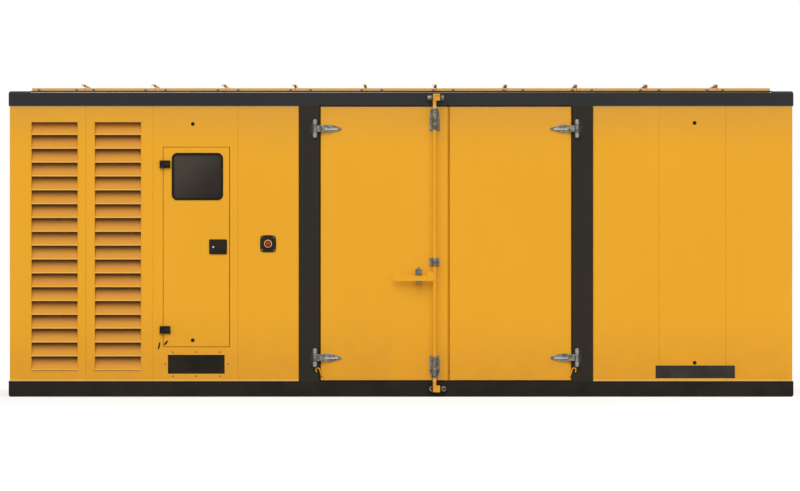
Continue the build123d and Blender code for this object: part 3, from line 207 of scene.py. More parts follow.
# Weathering: slow changes of tone, faint upright streaks, dust that gathers low down and on ledges,
# and chips along edges. Dull is 1 where dust lies.
weather_group, given, output = new_group(
    "weathering",
    [("Color", "NodeSocketColor", WHITE), ("Dust Color", "NodeSocketColor", (0.3, 0.25, 0.18, 1)),
     ("Chip Color", "NodeSocketColor", (0.2, 0.2, 0.2, 1)), ("Edge", "NodeSocketFloat", 0.0),
     ("Mottle", "NodeSocketFloat", 0.1), ("Dust", "NodeSocketFloat", 0.3), ("Chips", "NodeSocketFloat", 0.3)],
    [("Color", "NodeSocketColor"), ("Dull", "NodeSocketFloat")])
tree = weather_group
slow = calc(tree, "SUBTRACT", noise(tree, 0.9, 3.0), 0.5)
streaks = calc(tree, "SUBTRACT", noise(tree, 1.0, 4.0, (9.0, 9.0, 0.5)), 0.5)
change = calc(tree, "ADD", slow, calc(tree, "MULTIPLY", streaks, 0.45))
tone = calc(tree, "MULTIPLY_ADD", change, given["Mottle"], 1.0)
toned = add_node(tree, "ShaderNodeHueSaturation", {"Value": tone, "Color": given["Color"]})
low_down = fade(tree, axes_of(tree)["Z"], 0.0, 0.7, 1.0, 0.0)
upward = axes_of(tree, "Normal")["Z"]
ledges = calc(tree, "MULTIPLY", fade(tree, upward, 0.5, 0.95), 0.8)
patches = fade(tree, noise(tree, 7.0, 5.0), 0.32, 0.72)
settled = calc(tree, "MULTIPLY", calc(tree, "MAXIMUM", low_down, ledges), patches)
dull = calc(tree, "MULTIPLY", settled, given["Dust"], clamp=True)
flaked = fade(tree, noise(tree, 60.0, 3.0), 0.5, 0.64)
chipped = calc(tree, "MULTIPLY", calc(tree, "MULTIPLY", given["Edge"], flaked), given["Chips"])
dusted_and_shaded = mix_colors(tree, dull, toned.outputs[0], given["Dust Color"])
worn_color = mix_colors(tree, chipped, dusted_and_shaded, given["Chip Color"])
tree.links.new(worn_color, output.inputs["Color"])
tree.links.new(dull, output.inputs["Dull"])


def new_material(name, **constants):
    """Material with a Principled shader; constants are its fixed sockets, with _ for each space."""
    material = bpy.data.materials.new(name)
    material.use_nodes = True
    tree = material.node_tree
    tree.nodes.clear()
    sockets = {key.replace("_", " "): value for key, value in constants.items()}
    shader = add_node(tree, "ShaderNodeBsdfPrincipled", sockets)
    add_node(tree, "ShaderNodeOutputMaterial", {"Surface": shader.outputs[0]})
    return material, tree, shader


def join(tree, socket, shader, name):
    """Feed a shader's input."""
    tree.links.new(socket, shader.inputs[name])


def broken_edges(tree, radius, wear_width):
    """Outputs of the rounded edges."""
    return use_group(tree, edge_group, {"Radius": radius, "Wear Width": wear_width})


def weathered(tree, shader, **values):
    """Weathered base colour. Values are the group's inputs, with _ for each space; returns its outputs."""
    inputs = {key.replace("_", " "): value for key, value in values.items()}
    worn = use_group(tree, weather_group, inputs)
    join(tree, worn["Color"], shader, "Base Color")
    return worn


def two_toned(tree, shader, scale, first, second, detail=2.0):
    """Base colour that wanders between two colours with a noise."""
    join(tree, mix_colors(tree, noise(tree, scale, detail), first, second), shader, "Base Color")


def roughen(tree, shader, scale, change, least, detail=2.0):
    """Roughness from the least value upwards with a noise."""
    join(tree, calc(tree, "MULTIPLY_ADD", noise(tree, scale, detail), change, least), shader, "Roughness")


def relief(tree, shader, height, depth, normal=None):
    """Bump of a height from 0 to 1, depth in metres, on top of a normal."""
    inputs = {"Height": height, "Distance": depth}
    if normal is not None:
        inputs["Normal"] = normal
    join(tree, add_node(tree, "ShaderNodeBump", inputs).outputs[0], shader, "Normal")


def grained(tree, shader, size, depth, normal):
    """Bump of the coat grain on top of a normal."""
    relief(tree, shader, use_group(tree, grain_group, {"Size": size})["Height"], depth, normal)


def painted(name, color, chip, dust, roughness, dust_amount, edge_radius, mottle=0.5, chips=0.5,
            grain_size=0.004, grain_depth=0.0002, **constants):
    """Sprayed paint on steel: weathered colour, uneven gloss, orange peel and rounded edges."""
    material, tree, shader = new_material(name, **constants)
    edges = broken_edges(tree, edge_radius, 2.5 * edge_radius)
    worn = weathered(tree, shader, Color=color, Dust_Color=dust, Chip_Color=chip, Edge=edges["Edge"],
                     Mottle=mottle, Dust=dust_amount, Chips=chips)
    gloss = calc(tree, "MULTIPLY_ADD", noise(tree, 3.0, 3.0), 0.14, roughness - 0.07)
    join(tree, calc(tree, "MULTIPLY_ADD", worn["Dull"], 0.3, gloss), shader, "Roughness")
    grained(tree, shader, grain_size, grain_depth, edges["Normal"])
    return material, tree, shader, worn["Color"]


def finish(material, *names):
    """Give CAD nodes their material."""
    for name in names:
        for slot in nodes[name].material_slots:
            slot.material = material


# Base and top frame, door pillars and corner posts: welded steel sections, sprayed semi-gloss black.
# The base is painted darker as painted shade along the ground and picks up brown road dust; the top
# rails are greyer as a painted reflection of the white surround.
BLACK = (0.0165, 0.0125, 0.0068, 1)
black_paint = painted("black_paint", color=BLACK, chip=(0.11, 0.085, 0.06, 1),
                      dust=(0.0095, 0.0075, 0.0045, 1), roughness=0.5, dust_amount=0.6, edge_radius=0.003,
                      Specular_IOR_Level=0.16)[0]
finish(black_paint, "doorway_frames", "corner_posts")
# Painted shade: the base's black is darker than the other black, for the shade along the ground.
base_paint_shaded = painted("base_paint_shaded", color=(0.0125, 0.0098, 0.006, 1), chip=(0.09, 0.07, 0.05, 1),
                     dust=(0.0075, 0.006, 0.004, 1), roughness=0.52, dust_amount=0.6, edge_radius=0.003,
                     Specular_IOR_Level=0.13)[0]
finish(base_paint_shaded, "base_rails", "base_cross_members")
# Painted reflection: the top rails' black is greyer, as if it reflected the white surround.
rail_paint_sheen = painted("rail_paint_sheen", color=(0.0165, 0.0165, 0.0162, 1), chip=(0.11, 0.1, 0.09, 1),
                     dust=(0.04, 0.04, 0.037, 1), roughness=0.48, dust_amount=0.5, edge_radius=0.004,
                     Specular_IOR_Level=0.18)[0]
finish(rail_paint_sheen, "top_frame", "top_corner_blocks")

# Floor deck: dark painted tread plate with raised lozenges, laid on the cross members. The lozenges
# lie on both diagonals by turns.
LOZENGE_PITCH = 0.034
deck_paint, tree, shader = new_material("deck_paint", Specular_IOR_Level=0.35)
cells = add_node(tree, "ShaderNodeVectorMath", {0: coordinates(tree), 3: 1 / LOZENGE_PITCH},
                 operation="SCALE")
axes = add_node(tree, "ShaderNodeSeparateXYZ", {0: cells.outputs[0]}).outputs
cell_number = calc(tree, "ADD", calc(tree, "FLOOR", axes["X"]), calc(tree, "FLOOR", axes["Y"]))
turn = calc(tree, "MULTIPLY_ADD", calc(tree, "PINGPONG", cell_number, 1.0), 2.0, -1.0)
along = calc(tree, "SUBTRACT", calc(tree, "FRACT", axes["X"]), 0.5)
across = calc(tree, "SUBTRACT", calc(tree, "FRACT", axes["Y"]), 0.5)
long_way = calc(tree, "ADD", along, calc(tree, "MULTIPLY", across, turn))
short_way = calc(tree, "SUBTRACT", across, calc(tree, "MULTIPLY", along, turn))
reach = calc(tree, "ADD", calc(tree, "POWER", calc(tree, "MULTIPLY", long_way, 1.5), 2.0),
             calc(tree, "POWER", calc(tree, "MULTIPLY", short_way, 6.0), 2.0))
lozenge = fade(tree, reach, 0.35, 1.0, 1.0, 0.0)
worn = weathered(tree, shader, Color=(0.06, 0.06, 0.062, 1), Dust_Color=(0.16, 0.14, 0.11, 1),
                 Chip_Color=(0.35, 0.34, 0.33, 1), Edge=lozenge, Mottle=0.5, Dust=0.6, Chips=0.6)
join(tree, calc(tree, "MULTIPLY_ADD", worn["Dull"], 0.3, 0.42), shader, "Roughness")
relief(tree, shader, lozenge, 0.0015, broken_edges(tree, 0.002, 0.004)["Normal"])
finish(deck_paint, "floor_deck")

# Wall panels, doors and roof covers: folded sheet steel, powder-coated warm yellow. The coat is painted
# darker under the eaves and towards the ground as painted shade, paler in a narrow line along the frame
# as a painted highlight, and above the roof edge duller tan on its sides and rim and darker on its
# upward faces.
YELLOW = (0.84, 0.395, 0.019, 1)
EAVES_SHADE = (0.69, 0.335, 0.04, 1)
GROUND_SHADE = (0.6, 0.225, 0.018, 1)
FRAME_LINE_HIGHLIGHT = (0.95, 0.58, 0.22, 1)
TOP_EDGE, BOTTOM_EDGE = 2.2385, 0.1265
EDGE_REACH = 0.0065
RIM_TONE = (0.5, 0.35, 0.2, 1)
ROOF_TONE = (0.56, 0.31, 0.07, 1)
ROOF_EDGE = 2.352


def enamel(name):
    """Yellow powder coat; returns the material, its tree, shader and colour."""
    material, tree, shader, color = painted(
        name, color=YELLOW, chip=(0.9, 0.5, 0.09, 1), dust=(0.5, 0.27, 0.05, 1), roughness=0.42,
        dust_amount=0.22, edge_radius=0.003, mottle=0.07, chips=0.25, grain_size=0.0035,
        grain_depth=0.00012, Specular_IOR_Level=0.16)
    height = axes_of(tree)["Z"]
    level = calc(tree, "ADD", height, calc(tree, "MULTIPLY_ADD", noise(tree, 1.3, 3.0), 0.3, -0.15))
    # Painted shade: the yellow darkens under the eaves and towards the ground.
    eaves = mix_colors(tree, fade(tree, level, 1.85, 2.3, 0.0, 0.8), color, EAVES_SHADE)
    ground = mix_colors(tree, fade(tree, level, 0.0, 0.75, 0.3, 0.0), eaves, GROUND_SHADE)
    # Painted highlight: a paler line along the wall's top and bottom, beside the frame.
    under_rail = calc(tree, "COMPARE", height, TOP_EDGE, EDGE_REACH)
    over_base = calc(tree, "COMPARE", height, BOTTOM_EDGE, EDGE_REACH)
    highlight_beside_frame = calc(tree, "MULTIPLY", calc(tree, "MAXIMUM", under_rail, over_base), 0.55)
    frame_highlighted = mix_colors(tree, highlight_beside_frame, ground, FRAME_LINE_HIGHLIGHT)
    # Above the roof edge the coat turns dull tan on sides and rim, and darker on upward faces.
    upward = fade(tree, axes_of(tree, "Normal")["Z"], 0.5, 0.9)
    roof_tones = mix_colors(tree, upward, RIM_TONE, ROOF_TONE)
    on_roof = calc(tree, "MULTIPLY", calc(tree, "GREATER_THAN", height, ROOF_EDGE), 0.55)
    return material, tree, shader, mix_colors(tree, on_roof, frame_highlighted, roof_tones)


# The inner faces of the walls and doors are lined with perforated zinc-coated sheet, which holds the
# sound lining; staggered round holes show its black fleece.
LINING_Y = 1.132
LINING_X = 2.944
LINING_DEPTH = 0.0012
HOLE_PITCH = 0.014
FLEECE = (0.012, 0.012, 0.012, 1)
yellow_enamel, tree, shader, enamel_color = enamel("yellow_enamel")
axes, normal_axes = axes_of(tree), axes_of(tree, "Normal")


def lining_face(tree, place, facing, level):
    """1 on faces square to an axis that lie within the lining's depth of a level on it."""
    at_level = calc(tree, "COMPARE", calc(tree, "ABSOLUTE", place), level, LINING_DEPTH)
    return calc(tree, "MULTIPLY", at_level, calc(tree, "GREATER_THAN", calc(tree, "ABSOLUTE", facing), 0.9))


lined = calc(tree, "MAXIMUM", lining_face(tree, axes["Y"], normal_axes["Y"], LINING_Y),
             lining_face(tree, axes["X"], normal_axes["X"], LINING_X))
run = calc(tree, "DIVIDE", calc(tree, "ADD", axes["X"], axes["Y"]), HOLE_PITCH)
rise = calc(tree, "DIVIDE", axes["Z"], HOLE_PITCH * math.sqrt(3) / 2)
shift = calc(tree, "MULTIPLY", calc(tree, "PINGPONG", calc(tree, "FLOOR", rise), 1.0), 0.5)
hole_x = calc(tree, "SUBTRACT", calc(tree, "FRACT", calc(tree, "ADD", run, shift)), 0.5)
hole_z = calc(tree, "SUBTRACT", calc(tree, "FRACT", rise), 0.5)
squares = calc(tree, "ADD", calc(tree, "POWER", hole_x, 2.0), calc(tree, "POWER", hole_z, 2.0))
sheet = fade(tree, calc(tree, "SQRT", squares), 0.26, 0.34)
lining_grey = mix_colors(tree, noise(tree, 30.0), (0.3, 0.31, 0.32, 1), (0.46, 0.47, 0.48, 1))
lining_color = mix_colors(tree, sheet, FLEECE, lining_grey)
join(tree, mix_colors(tree, lined, enamel_color, lining_color), shader, "Base Color")
join(tree, calc(tree, "MULTIPLY", calc(tree, "MULTIPLY", lined, sheet), 0.8), shader, "Metallic")
finish(yellow_enamel, "front_louvre_panels", "control_panel", "stop_panel", "front_side_panels",
       "back_panels", "left_end_panels", "right_end_panels", "left_door_leaf", "right_door_leaf",
       "back_doors", "control_door", "roof_covers", "roof_seams", "lock_rod", "rod_cams", "lock_handle")

# Louvre banks: a pressed sleeve with a narrow flange lines each opening, and the blades are welded
# across it. A blade is folded round at its lower edge, stands upright there at the wall face, and
# slopes inwards and up behind the next one. Its colour holds painted shade that darkens with depth to
# near black under the next lip, and a painted highlight on the lip.
WALL_PLANE = -WALL_FRONT
END_WALL_PLANE = 3.021
BANK_WIDTH = 0.36
BANK_BOTTOM, BANK_TOP = 0.1986, 2.121
ROW_COUNT = 18
ROW_PITCH = 0.1068
BLADE_END_GAP = 0.0012
HALF_SHEET = 0.00125
HEM_RADIUS = 0.0025
HEM_DEPTH, HEM_HEIGHT = HALF_SHEET + HEM_RADIUS, 0.0085
BEND_RADIUS = 0.004
SLOPE_ANGLE = math.radians(27.5)
SLOPE_DEPTH, SLOPE_RISE = 0.052, 0.1125
TOP_BLADE_RISE = ROW_PITCH - 0.0015
CREASE_ANGLE = math.radians(35)
SLEEVE_OUTLINE = [(-0.005, 0.0003), (-0.005, -0.0008), (-0.0046, -0.0012), (0.0016, -0.0012),
                  (0.0022, -0.001), (0.0025, -0.0004), (0.0025, 0.0617), (0.0002, 0.0617),
                  (0.0002, 0.0003), (-0.005, 0.0003)]
# Painted highlight of the lip, and painted shade from the blade's foot to deep in the bank.
LIP_HIGHLIGHT = (0.78, 0.44, 0.12, 1)
BLADE_SHADE = (0.63, 0.265, 0.011, 1)
DEEPER_SHADE = (0.47, 0.195, 0.026, 1)
DEEPEST_SHADE = (0.17, 0.135, 0.085, 1)
louvre_enamel, tree, shader, enamel_color = enamel("louvre_enamel")
axes = axes_of(tree)
from_side = calc(tree, "SUBTRACT", WALL_PLANE, calc(tree, "ABSOLUTE", axes["Y"]))
from_end = calc(tree, "SUBTRACT", END_WALL_PLANE, calc(tree, "ABSOLUTE", axes["X"]))
depth = calc(tree, "MINIMUM", from_side, from_end)
smear = calc(tree, "MULTIPLY_ADD", noise(tree, 14.0, 4.0, (1.0, 1.0, 2.5)), 0.012, -0.006)
ragged = calc(tree, "ADD", depth, smear)
lip_highlighted = mix_colors(tree, fade(tree, depth, -0.0002, 0.0, 0.0, 0.5), enamel_color, LIP_HIGHLIGHT)
shaded = mix_colors(tree, fade(tree, depth, 0.0005, 0.004), lip_highlighted, BLADE_SHADE)
dusted_and_shaded = mix_colors(tree, fade(tree, ragged, 0.008, 0.04), shaded, DEEPER_SHADE)
shaded_deepest = mix_colors(tree, fade(tree, ragged, 0.036, 0.052), dusted_and_shaded, DEEPEST_SHADE)
join(tree, shaded_deepest, shader, "Base Color")


def grid_faces(rows, columns):
    """Four-sided faces of a grid of points, row by row, whose last column joins its first."""
    row = np.arange(rows - 1)[:, None] * columns
    column = np.arange(columns)[None, :]
    beside = (column + 1) % columns
    corners = (row + column, row + beside, row + columns + beside, row + columns + column)
    return np.stack(corners, axis=-1).reshape(-1, 4)


def make_piece(name, points, faces, material, body, slot):
    """Mesh piece from arrays of points and faces, on a body; poles and seams are merged."""
    mesh = bpy.data.meshes.new(name)
    mesh.from_pydata(points.reshape(-1, 3).tolist(), [], faces.tolist())
    shell = bmesh.new()
    shell.from_mesh(mesh)
    bmesh.ops.remove_doubles(shell, verts=shell.verts, dist=1e-6)
    bmesh.ops.recalc_face_normals(shell, faces=shell.faces)
    shell.to_mesh(mesh)
    shell.free()
    mesh.polygons.foreach_set("use_smooth", np.ones(len(mesh.polygons), dtype=bool))
    mesh.set_sharp_from_angle(angle=CREASE_ANGLE)
    mesh.materials.append(material)
    piece = bpy.data.objects.new(name, mesh)
    bpy.context.scene.collection.objects.link(piece)
    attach(piece, body)
    return piece


def blade_line(rise):
    """Middle of a blade's sheet, depth by height: half a turn with the hem's radius from inside to the
    wall face, a bend with the bend's radius, and a straight slope up to the given rise."""
    roll = np.linspace(0, np.pi, 9)
    turn = np.linspace(0, SLOPE_ANGLE, 5)
    hem = np.stack([HEM_DEPTH + HEM_RADIUS * np.cos(roll), HEM_HEIGHT - HEM_RADIUS * np.sin(roll)], -1)
    bend = np.stack([HALF_SHEET + BEND_RADIUS * (1 - np.cos(turn)),
                     HEM_HEIGHT + BEND_RADIUS * np.sin(turn)], -1)
    share = (rise - bend[-1, 1]) / (SLOPE_RISE - bend[-1, 1])
    back = bend[-1] + share * (np.array((SLOPE_DEPTH, SLOPE_RISE)) - bend[-1])
    return np.concatenate([hem, bend[1:], back[None]])


def blade(start, stop, bottom, rise):
    """Sheet from start to stop along the wall. Each point is line(u) + t n(u) or line(u) - t n(u), with n
    square to the line, and the first and last rows fall together on the line to close the edges."""
    line = blade_line(rise)
    run = np.gradient(line, axis=0)
    run /= np.linalg.norm(run, axis=1)[:, None]
    normal = np.stack([-run[:, 1], run[:, 0]], -1)
    sides = (line + HALF_SHEET * normal, line - HALF_SHEET * normal)
    outer, inner = (np.concatenate([line[:1], side, line[-1:]]) for side in sides)
    along = np.array([start, stop, stop, start])
    across = np.stack([outer, outer, inner, inner], axis=1)
    along = np.broadcast_to(along, across.shape[:2])
    return np.stack([along, across[..., 0], across[..., 1] + bottom], -1), grid_faces(len(across), 4)


def sleeve(start, stop, bottom, top):
    """Four mitred sides round an opening. Each point is a corner of it moved inwards by s(u), at the
    depth d(u) of the sleeve's outline."""
    outline = np.array(SLEEVE_OUTLINE)
    corners = np.array([(start, bottom), (stop, bottom), (stop, top), (start, top)])
    inwards = np.array([(1, 1), (-1, 1), (-1, -1), (1, -1)])
    flat = corners[None] + outline[:, 0][:, None, None] * inwards[None]
    depth = np.broadcast_to(outline[:, 1:2], flat.shape[:2])
    return np.stack([flat[..., 0], depth, flat[..., 1]], -1), grid_faces(len(outline), 4)


def together(parts):
    """One array of points and one of faces from several."""
    sizes = np.cumsum([0] + [points.reshape(-1, 3).shape[0] for points, _ in parts])
    points = np.concatenate([points.reshape(-1, 3) for points, _ in parts])
    return points, np.concatenate([faces + size for (_, faces), size in zip(parts, sizes)])


def louvre_banks(lefts):
    """Sleeves and blades of the banks that start at the given places along a wall."""
    parts = []
    for left in lefts:
        right = left + BANK_WIDTH
        parts.append(sleeve(left, right, BANK_BOTTOM, BANK_TOP))
        for row in range(ROW_COUNT):
            rise = SLOPE_RISE if row < ROW_COUNT - 1 else TOP_BLADE_RISE
            bottom = BANK_BOTTOM + row * ROW_PITCH
            parts.append(blade(left + BLADE_END_GAP, right - BLADE_END_GAP, bottom, rise))
    return together(parts)


for name, along_axis, bank_count, wall_place in (
        ("front_louvres", 0, 2, lambda a, d, h: (a, d - WALL_PLANE, h)),
        ("back_louvres", 0, 2, lambda a, d, h: (a, WALL_PLANE - d, h)),
        ("left_end_louvres", 1, 4, lambda a, d, h: (d - END_WALL_PLANE, a, h))):
    low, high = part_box(name)
    points, faces = louvre_banks(np.linspace(low[along_axis], high[along_axis] - BANK_WIDTH, bank_count))
    placed = np.stack(wall_place(points[:, 0], points[:, 1], points[:, 2]), -1)
    bank = make_piece(f"{name}_sheet", placed, faces, louvre_enamel, "enclosure", "yellow_paint")
    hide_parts(name)

# Wall joints: the upright joints between wall panels are filled with a bead of sealant, painted over
# with the walls, so that only a fine line shows.
JOINT_RADIUS = 0.0034
JOINT_SUNK = 0.0036
WALL_BOTTOM, WALL_TOP = 0.12, 2.245
FIRST_LOUVRE_PANEL = 0.59
END_WALL_HALF_WIDTH = 1.129
PANEL_JOINT = 0.0025
ALONG, INWARDS, UP = (1, 0, 0), (0, 1, 0), (0, 0, 1)
joint_color, tree, shader = new_material("painted_joint", Specular_IOR_Level=0.2)
weathered(tree, shader, Color=(0.8, 0.36, 0.017, 1), Dust_Color=(0.3, 0.16, 0.04, 1), Mottle=0.2, Dust=0.5)
roughen(tree, shader, 50.0, 0.2, 0.5)
relief(tree, shader, noise(tree, 220.0), 0.0002)


def swept_bead(path, across, upward, radius, sides=10):
    """Round bead along a straight path. Each point is path(u) + r cos(v) across + r sin(v) upward,
    and the bead shrinks to a point at both ends so that it is closed."""
    path, across, upward = (np.asarray(value, float) for value in (path, across, upward))
    turn = np.linspace(0, 2 * np.pi, sides, endpoint=False)
    ring = np.cos(turn)[:, None] * across + np.sin(turn)[:, None] * upward
    swell = np.full(len(path), radius)
    swell[[0, -1]] = 0.0
    return path[:, None, :] + swell[:, None, None] * ring[None], grid_faces(len(path), sides)


def ended(start, stop, steps=24):
    """Points along a straight line, with one point more close to either end to round it off."""
    share = np.concatenate([[0, 0.0005], np.linspace(0.002, 0.998, steps), [0.9995, 1]])
    return np.asarray(start, float) + share[:, None] * (np.asarray(stop, float) - np.asarray(start, float))


def upright_bead(x, y):
    """Bead of sealant as high as the walls."""
    return swept_bead(ended((x, y, WALL_BOTTOM), (x, y, WALL_TOP)), ALONG, INWARDS, JOINT_RADIUS)


louvre_low, louvre_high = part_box("front_louvre_panels")
side_low, side_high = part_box("front_side_panels")
side_third = (side_high[0] - side_low[0] + PANEL_JOINT) / 3
joint_x = [louvre_low[0] + FIRST_LOUVRE_PANEL, louvre_high[0] + PANEL_JOINT / 2,
           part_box("stop_panel")[0][0] - PANEL_JOINT / 2, side_low[0] + side_third,
           side_low[0] + 2 * side_third]
lines = []
for side in (-1, 1):
    lines += [upright_bead(x, side * (WALL_PLANE - JOINT_SUNK)) for x in joint_x]
    lines += [upright_bead(side * (END_WALL_PLANE - JOINT_SUNK), share * END_WALL_HALF_WIDTH)
              for share in (-0.5, 0, 0.5)]
make_piece("wall_joints", *together(lines), joint_color, "enclosure", "yellow_paint")

# Seals: black rubber round the doorway, the window and the cable entry. On the roof the covers lie on
# a black gasket strip, which stands in for the shadow under their rim as painted shadow. A bead of
# pale grey sealant runs below it along the edge of the rails; its pale grey is a painted highlight of
# the rails' top edge and darkens towards the right.
rubber, tree, shader = new_material("black_rubber", Specular_IOR_Level=0.1)
edges = broken_edges(tree, 0.0015, 0.003)
weathered(tree, shader, Color=(0.0115, 0.0088, 0.0048, 1), Dust_Color=(0.045, 0.036, 0.022, 1),
          Chip_Color=(0.05, 0.05, 0.05, 1), Edge=edges["Edge"], Mottle=0.6, Dust=0.4, Chips=0.5)
roughen(tree, shader, 40.0, 0.2, 0.55)
grained(tree, shader, 0.0012, 0.0001, edges["Normal"])
finish(rubber, "doorway_seal", "window_gasket", "cable_entry_plate")

SEALANT_RADIUS = 0.0042
SEALANT_Y, SEALANT_Z, SEALANT_END = 1.2135, 2.3468, 2.846
GASKET_RADIUS = 0.0048
GASKET_Y, GASKET_Z, GASKET_END = 1.2032, 2.3565, 2.8625
# Painted highlight: the bead's pale grey stands for the rails' lit top edge, darker towards the right.
pale_highlight_sealant, tree, shader = new_material("pale_sealant_highlight", Specular_IOR_Level=0.35)
highlight_fade = fade(tree, calc(tree, "ADD", axes_of(tree)["X"], noise(tree, 2.0, 4.0)), -2.6, 2.6)
grey = mix_colors(tree, highlight_fade, (0.44, 0.4, 0.39, 1), (0.06, 0.048, 0.03, 1))
weathered(tree, shader, Color=grey, Dust_Color=(0.12, 0.1, 0.08, 1), Mottle=0.5, Dust=0.6)
roughen(tree, shader, 40.0, 0.2, 0.45)
relief(tree, shader, noise(tree, 130.0, 3.0), 0.0008)
# Painted shadow: the black gasket bead stands in for the shadow under the covers' rim.
for name, coat, radius, y, z, end in (
        ("roof_sealant_highlight", pale_highlight_sealant, SEALANT_RADIUS, SEALANT_Y, SEALANT_Z, SEALANT_END),
        ("roof_gasket_shadow", rubber, GASKET_RADIUS, GASKET_Y, GASKET_Z, GASKET_END)):
    beads = [swept_bead(ended((-end, side * y, z), (end, side * y, z), 80), INWARDS, UP, radius)
             for side in (-1, 1)]
    make_piece(name, *together(beads), coat, "enclosure", "black_rubber")

# Round plugs: black rubber plugs with a shallow dished face, pressed into round holes of the wall
# panels, and the same on the back.
PLUG_OUTLINE = [(0, 0.0012, 0), (0.007, 0.0014, 0), (0.0105, 0.0030, 0), (0.0132, 0.0032, 0),
                (0.0145, 0.0016, 0), (0.0145, -0.0010, 0), (0, -0.0010, 0)]
PLUGS = ((-1.607, 2.105), (2.265, 2.113), (2.266, 0.262))
SIDES = (("front", -1), ("back", 1))


def make_heads(name, centres, outline, sides, material, body, slot, facing=-1, turn_by=0.0):
    """Turned heads facing the front, -1, or the back, 1. Each point is centre + r(v) k(u, v) (cos u, sin u)
    in the face + h(v) out of it, where outline gives rows of r, h and w, and k bends the circle to a
    polygon by the weight w."""
    centres, outline = np.asarray(centres, float), np.asarray(outline, float)
    outward = np.array((0.0, facing, 0.0))
    side = np.cross(outward, UP)
    upright = np.cross(side, outward)
    count = 4 * sides if sides <= 6 else sides
    angle = np.linspace(0, 2 * np.pi, count, endpoint=False)
    sector = 2 * np.pi / sides
    polygon = np.cos(sector / 2) / np.cos(angle % sector - sector / 2)
    factor = 1 + (polygon - 1) * outline[:, 2:3] if sides <= 6 else np.ones((len(outline), count))
    radius = outline[:, 0:1] * factor
    turns = turn_by * np.arange(len(centres))[:, None, None]
    height = np.broadcast_to(outline[None, :, 1:2], (len(centres), len(outline), count))
    points = (centres[:, None, None, :] + height[..., None] * outward
              + (radius * np.cos(angle + turns))[..., None] * side
              + (radius * np.sin(angle + turns))[..., None] * upright)
    copies = np.arange(len(centres))[:, None, None] * len(outline) * count
    faces = (grid_faces(len(outline), count)[None] + copies).reshape(-1, 4)
    return make_piece(name, points, faces, material, body, slot)


for side, facing in SIDES:
    plugs = [(x, facing * WALL_PLANE, z) for x, z in PLUGS]
    make_heads(f"{side}_wall_plugs", plugs, PLUG_OUTLINE, 32, rubber, "enclosure", "black_rubber", facing)

# Edge seals: a soft round bulb on the free edge of the left door, a thicker one that fills the seam of
# the fixed back doors, and a thinner one in the gap round the control door except at its latch side.
# Their brown is painted shade: the walls' yellow as it shows in the shade of a gap.
BULB_RADIUS = 0.0044
BULB_DEPTH = 0.0072
THIN_BULB_RADIUS = 0.0019
THIN_BULB_DEPTH = 0.0034
CONTROL_GAP = 0.005
# Painted shade: the seals' colour is the yellow darkened to brown, as in a gap's shade.
edge_rubber_gap_shade, tree, shader = new_material("rubber_in_gap_shade", Specular_IOR_Level=0.08)
weathered(tree, shader, Color=(0.66, 0.265, 0.012, 1), Dust_Color=(0.2, 0.08, 0.01, 1), Mottle=0.5, Dust=0.5)
roughen(tree, shader, 40.0, 0.2, 0.6)
relief(tree, shader, noise(tree, 150.0), 0.0003)
seal_low, seal_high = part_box("door_edge_seal")


def door_bulb(x, y, radius):
    """Upright bulb as high as the seal of the door edge."""
    return swept_bead(ended((x, y, seal_low[2]), (x, y, seal_high[2]), 60), ALONG, INWARDS, radius, 16)


bulb = door_bulb(seal_low[0] + BULB_RADIUS, WALL_FRONT + BULB_DEPTH, BULB_RADIUS)
door_edge = make_piece("door_edge_bulb", *bulb, edge_rubber_gap_shade, "left_door", "black_rubber")
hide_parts("door_edge_seal")

seam_left, seam_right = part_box("left_door_leaf")[1][0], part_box("right_door_leaf")[0][0]
bulb = door_bulb((seam_left + seam_right) / 2, -WALL_FRONT - BULB_DEPTH, (seam_right - seam_left) / 2)
make_piece("back_seam_bulb", *bulb, edge_rubber_gap_shade, "enclosure", "black_rubber")

door_low, door_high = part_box("control_door")
left, right = door_low[0] - CONTROL_GAP / 2, door_high[0] + CONTROL_GAP / 2
low, high = door_low[2] - CONTROL_GAP / 2, door_high[2] + CONTROL_GAP / 2
y = WALL_FRONT + THIN_BULB_DEPTH
runs = [((left, y, low), (left, y, high), ALONG), ((left, y, low), (right, y, low), UP),
        ((left, y, high), (right, y, high), UP)]
bulbs = [swept_bead(ended(start, stop), across, INWARDS, THIN_BULB_RADIUS) for start, stop, across in runs]
make_piece("control_gap_bulb", *together(bulbs), edge_rubber_gap_shade, "enclosure", "black_rubber")

# Blank strip: a plain black film stuck low on the right-hand wall.
STRIP = (1.964, 2.577, 0.143, 0.241)
STRIP_THICKNESS = 0.0008
STRIP_SUNK = 0.0004
STRIP_CORNER = 0.003
film, tree, shader = new_material("black_film", Specular_IOR_Level=0.18)
weathered(tree, shader, Color=(0.014, 0.013, 0.012, 1), Dust_Color=(0.07, 0.055, 0.035, 1), Mottle=0.4,
          Dust=0.35)
roughen(tree, shader, 12.0, 0.2, 0.3, 3.0)
relief(tree, shader, noise(tree, 90.0), 0.00012)


def slab_surface(x0, x1, z0, z1, front, back, radius):
    """Thin plate with rounded corners. Rows run from the middle of the front round the edge to the
    middle of the back; columns follow the outline, whose corners are quarter circles."""
    angle = np.linspace(0, np.pi / 2, 6)
    corners = [(x1 - radius, z1 - radius, 0), (x0 + radius, z1 - radius, 1),
               (x0 + radius, z0 + radius, 2), (x1 - radius, z0 + radius, 3)]
    rim = np.concatenate([np.stack([cx + radius * np.cos(angle + quarter * np.pi / 2),
                                    cz + radius * np.sin(angle + quarter * np.pi / 2)], -1)
                          for cx, cz, quarter in corners])
    middle = np.broadcast_to([(x0 + x1) / 2, (z0 + z1) / 2], rim.shape)
    rows = [(middle, front), (rim, front), (rim, back), (middle, back)]
    points = np.stack([np.insert(row, 1, depth, axis=1) for row, depth in rows])
    return points, grid_faces(len(rows), len(rim))


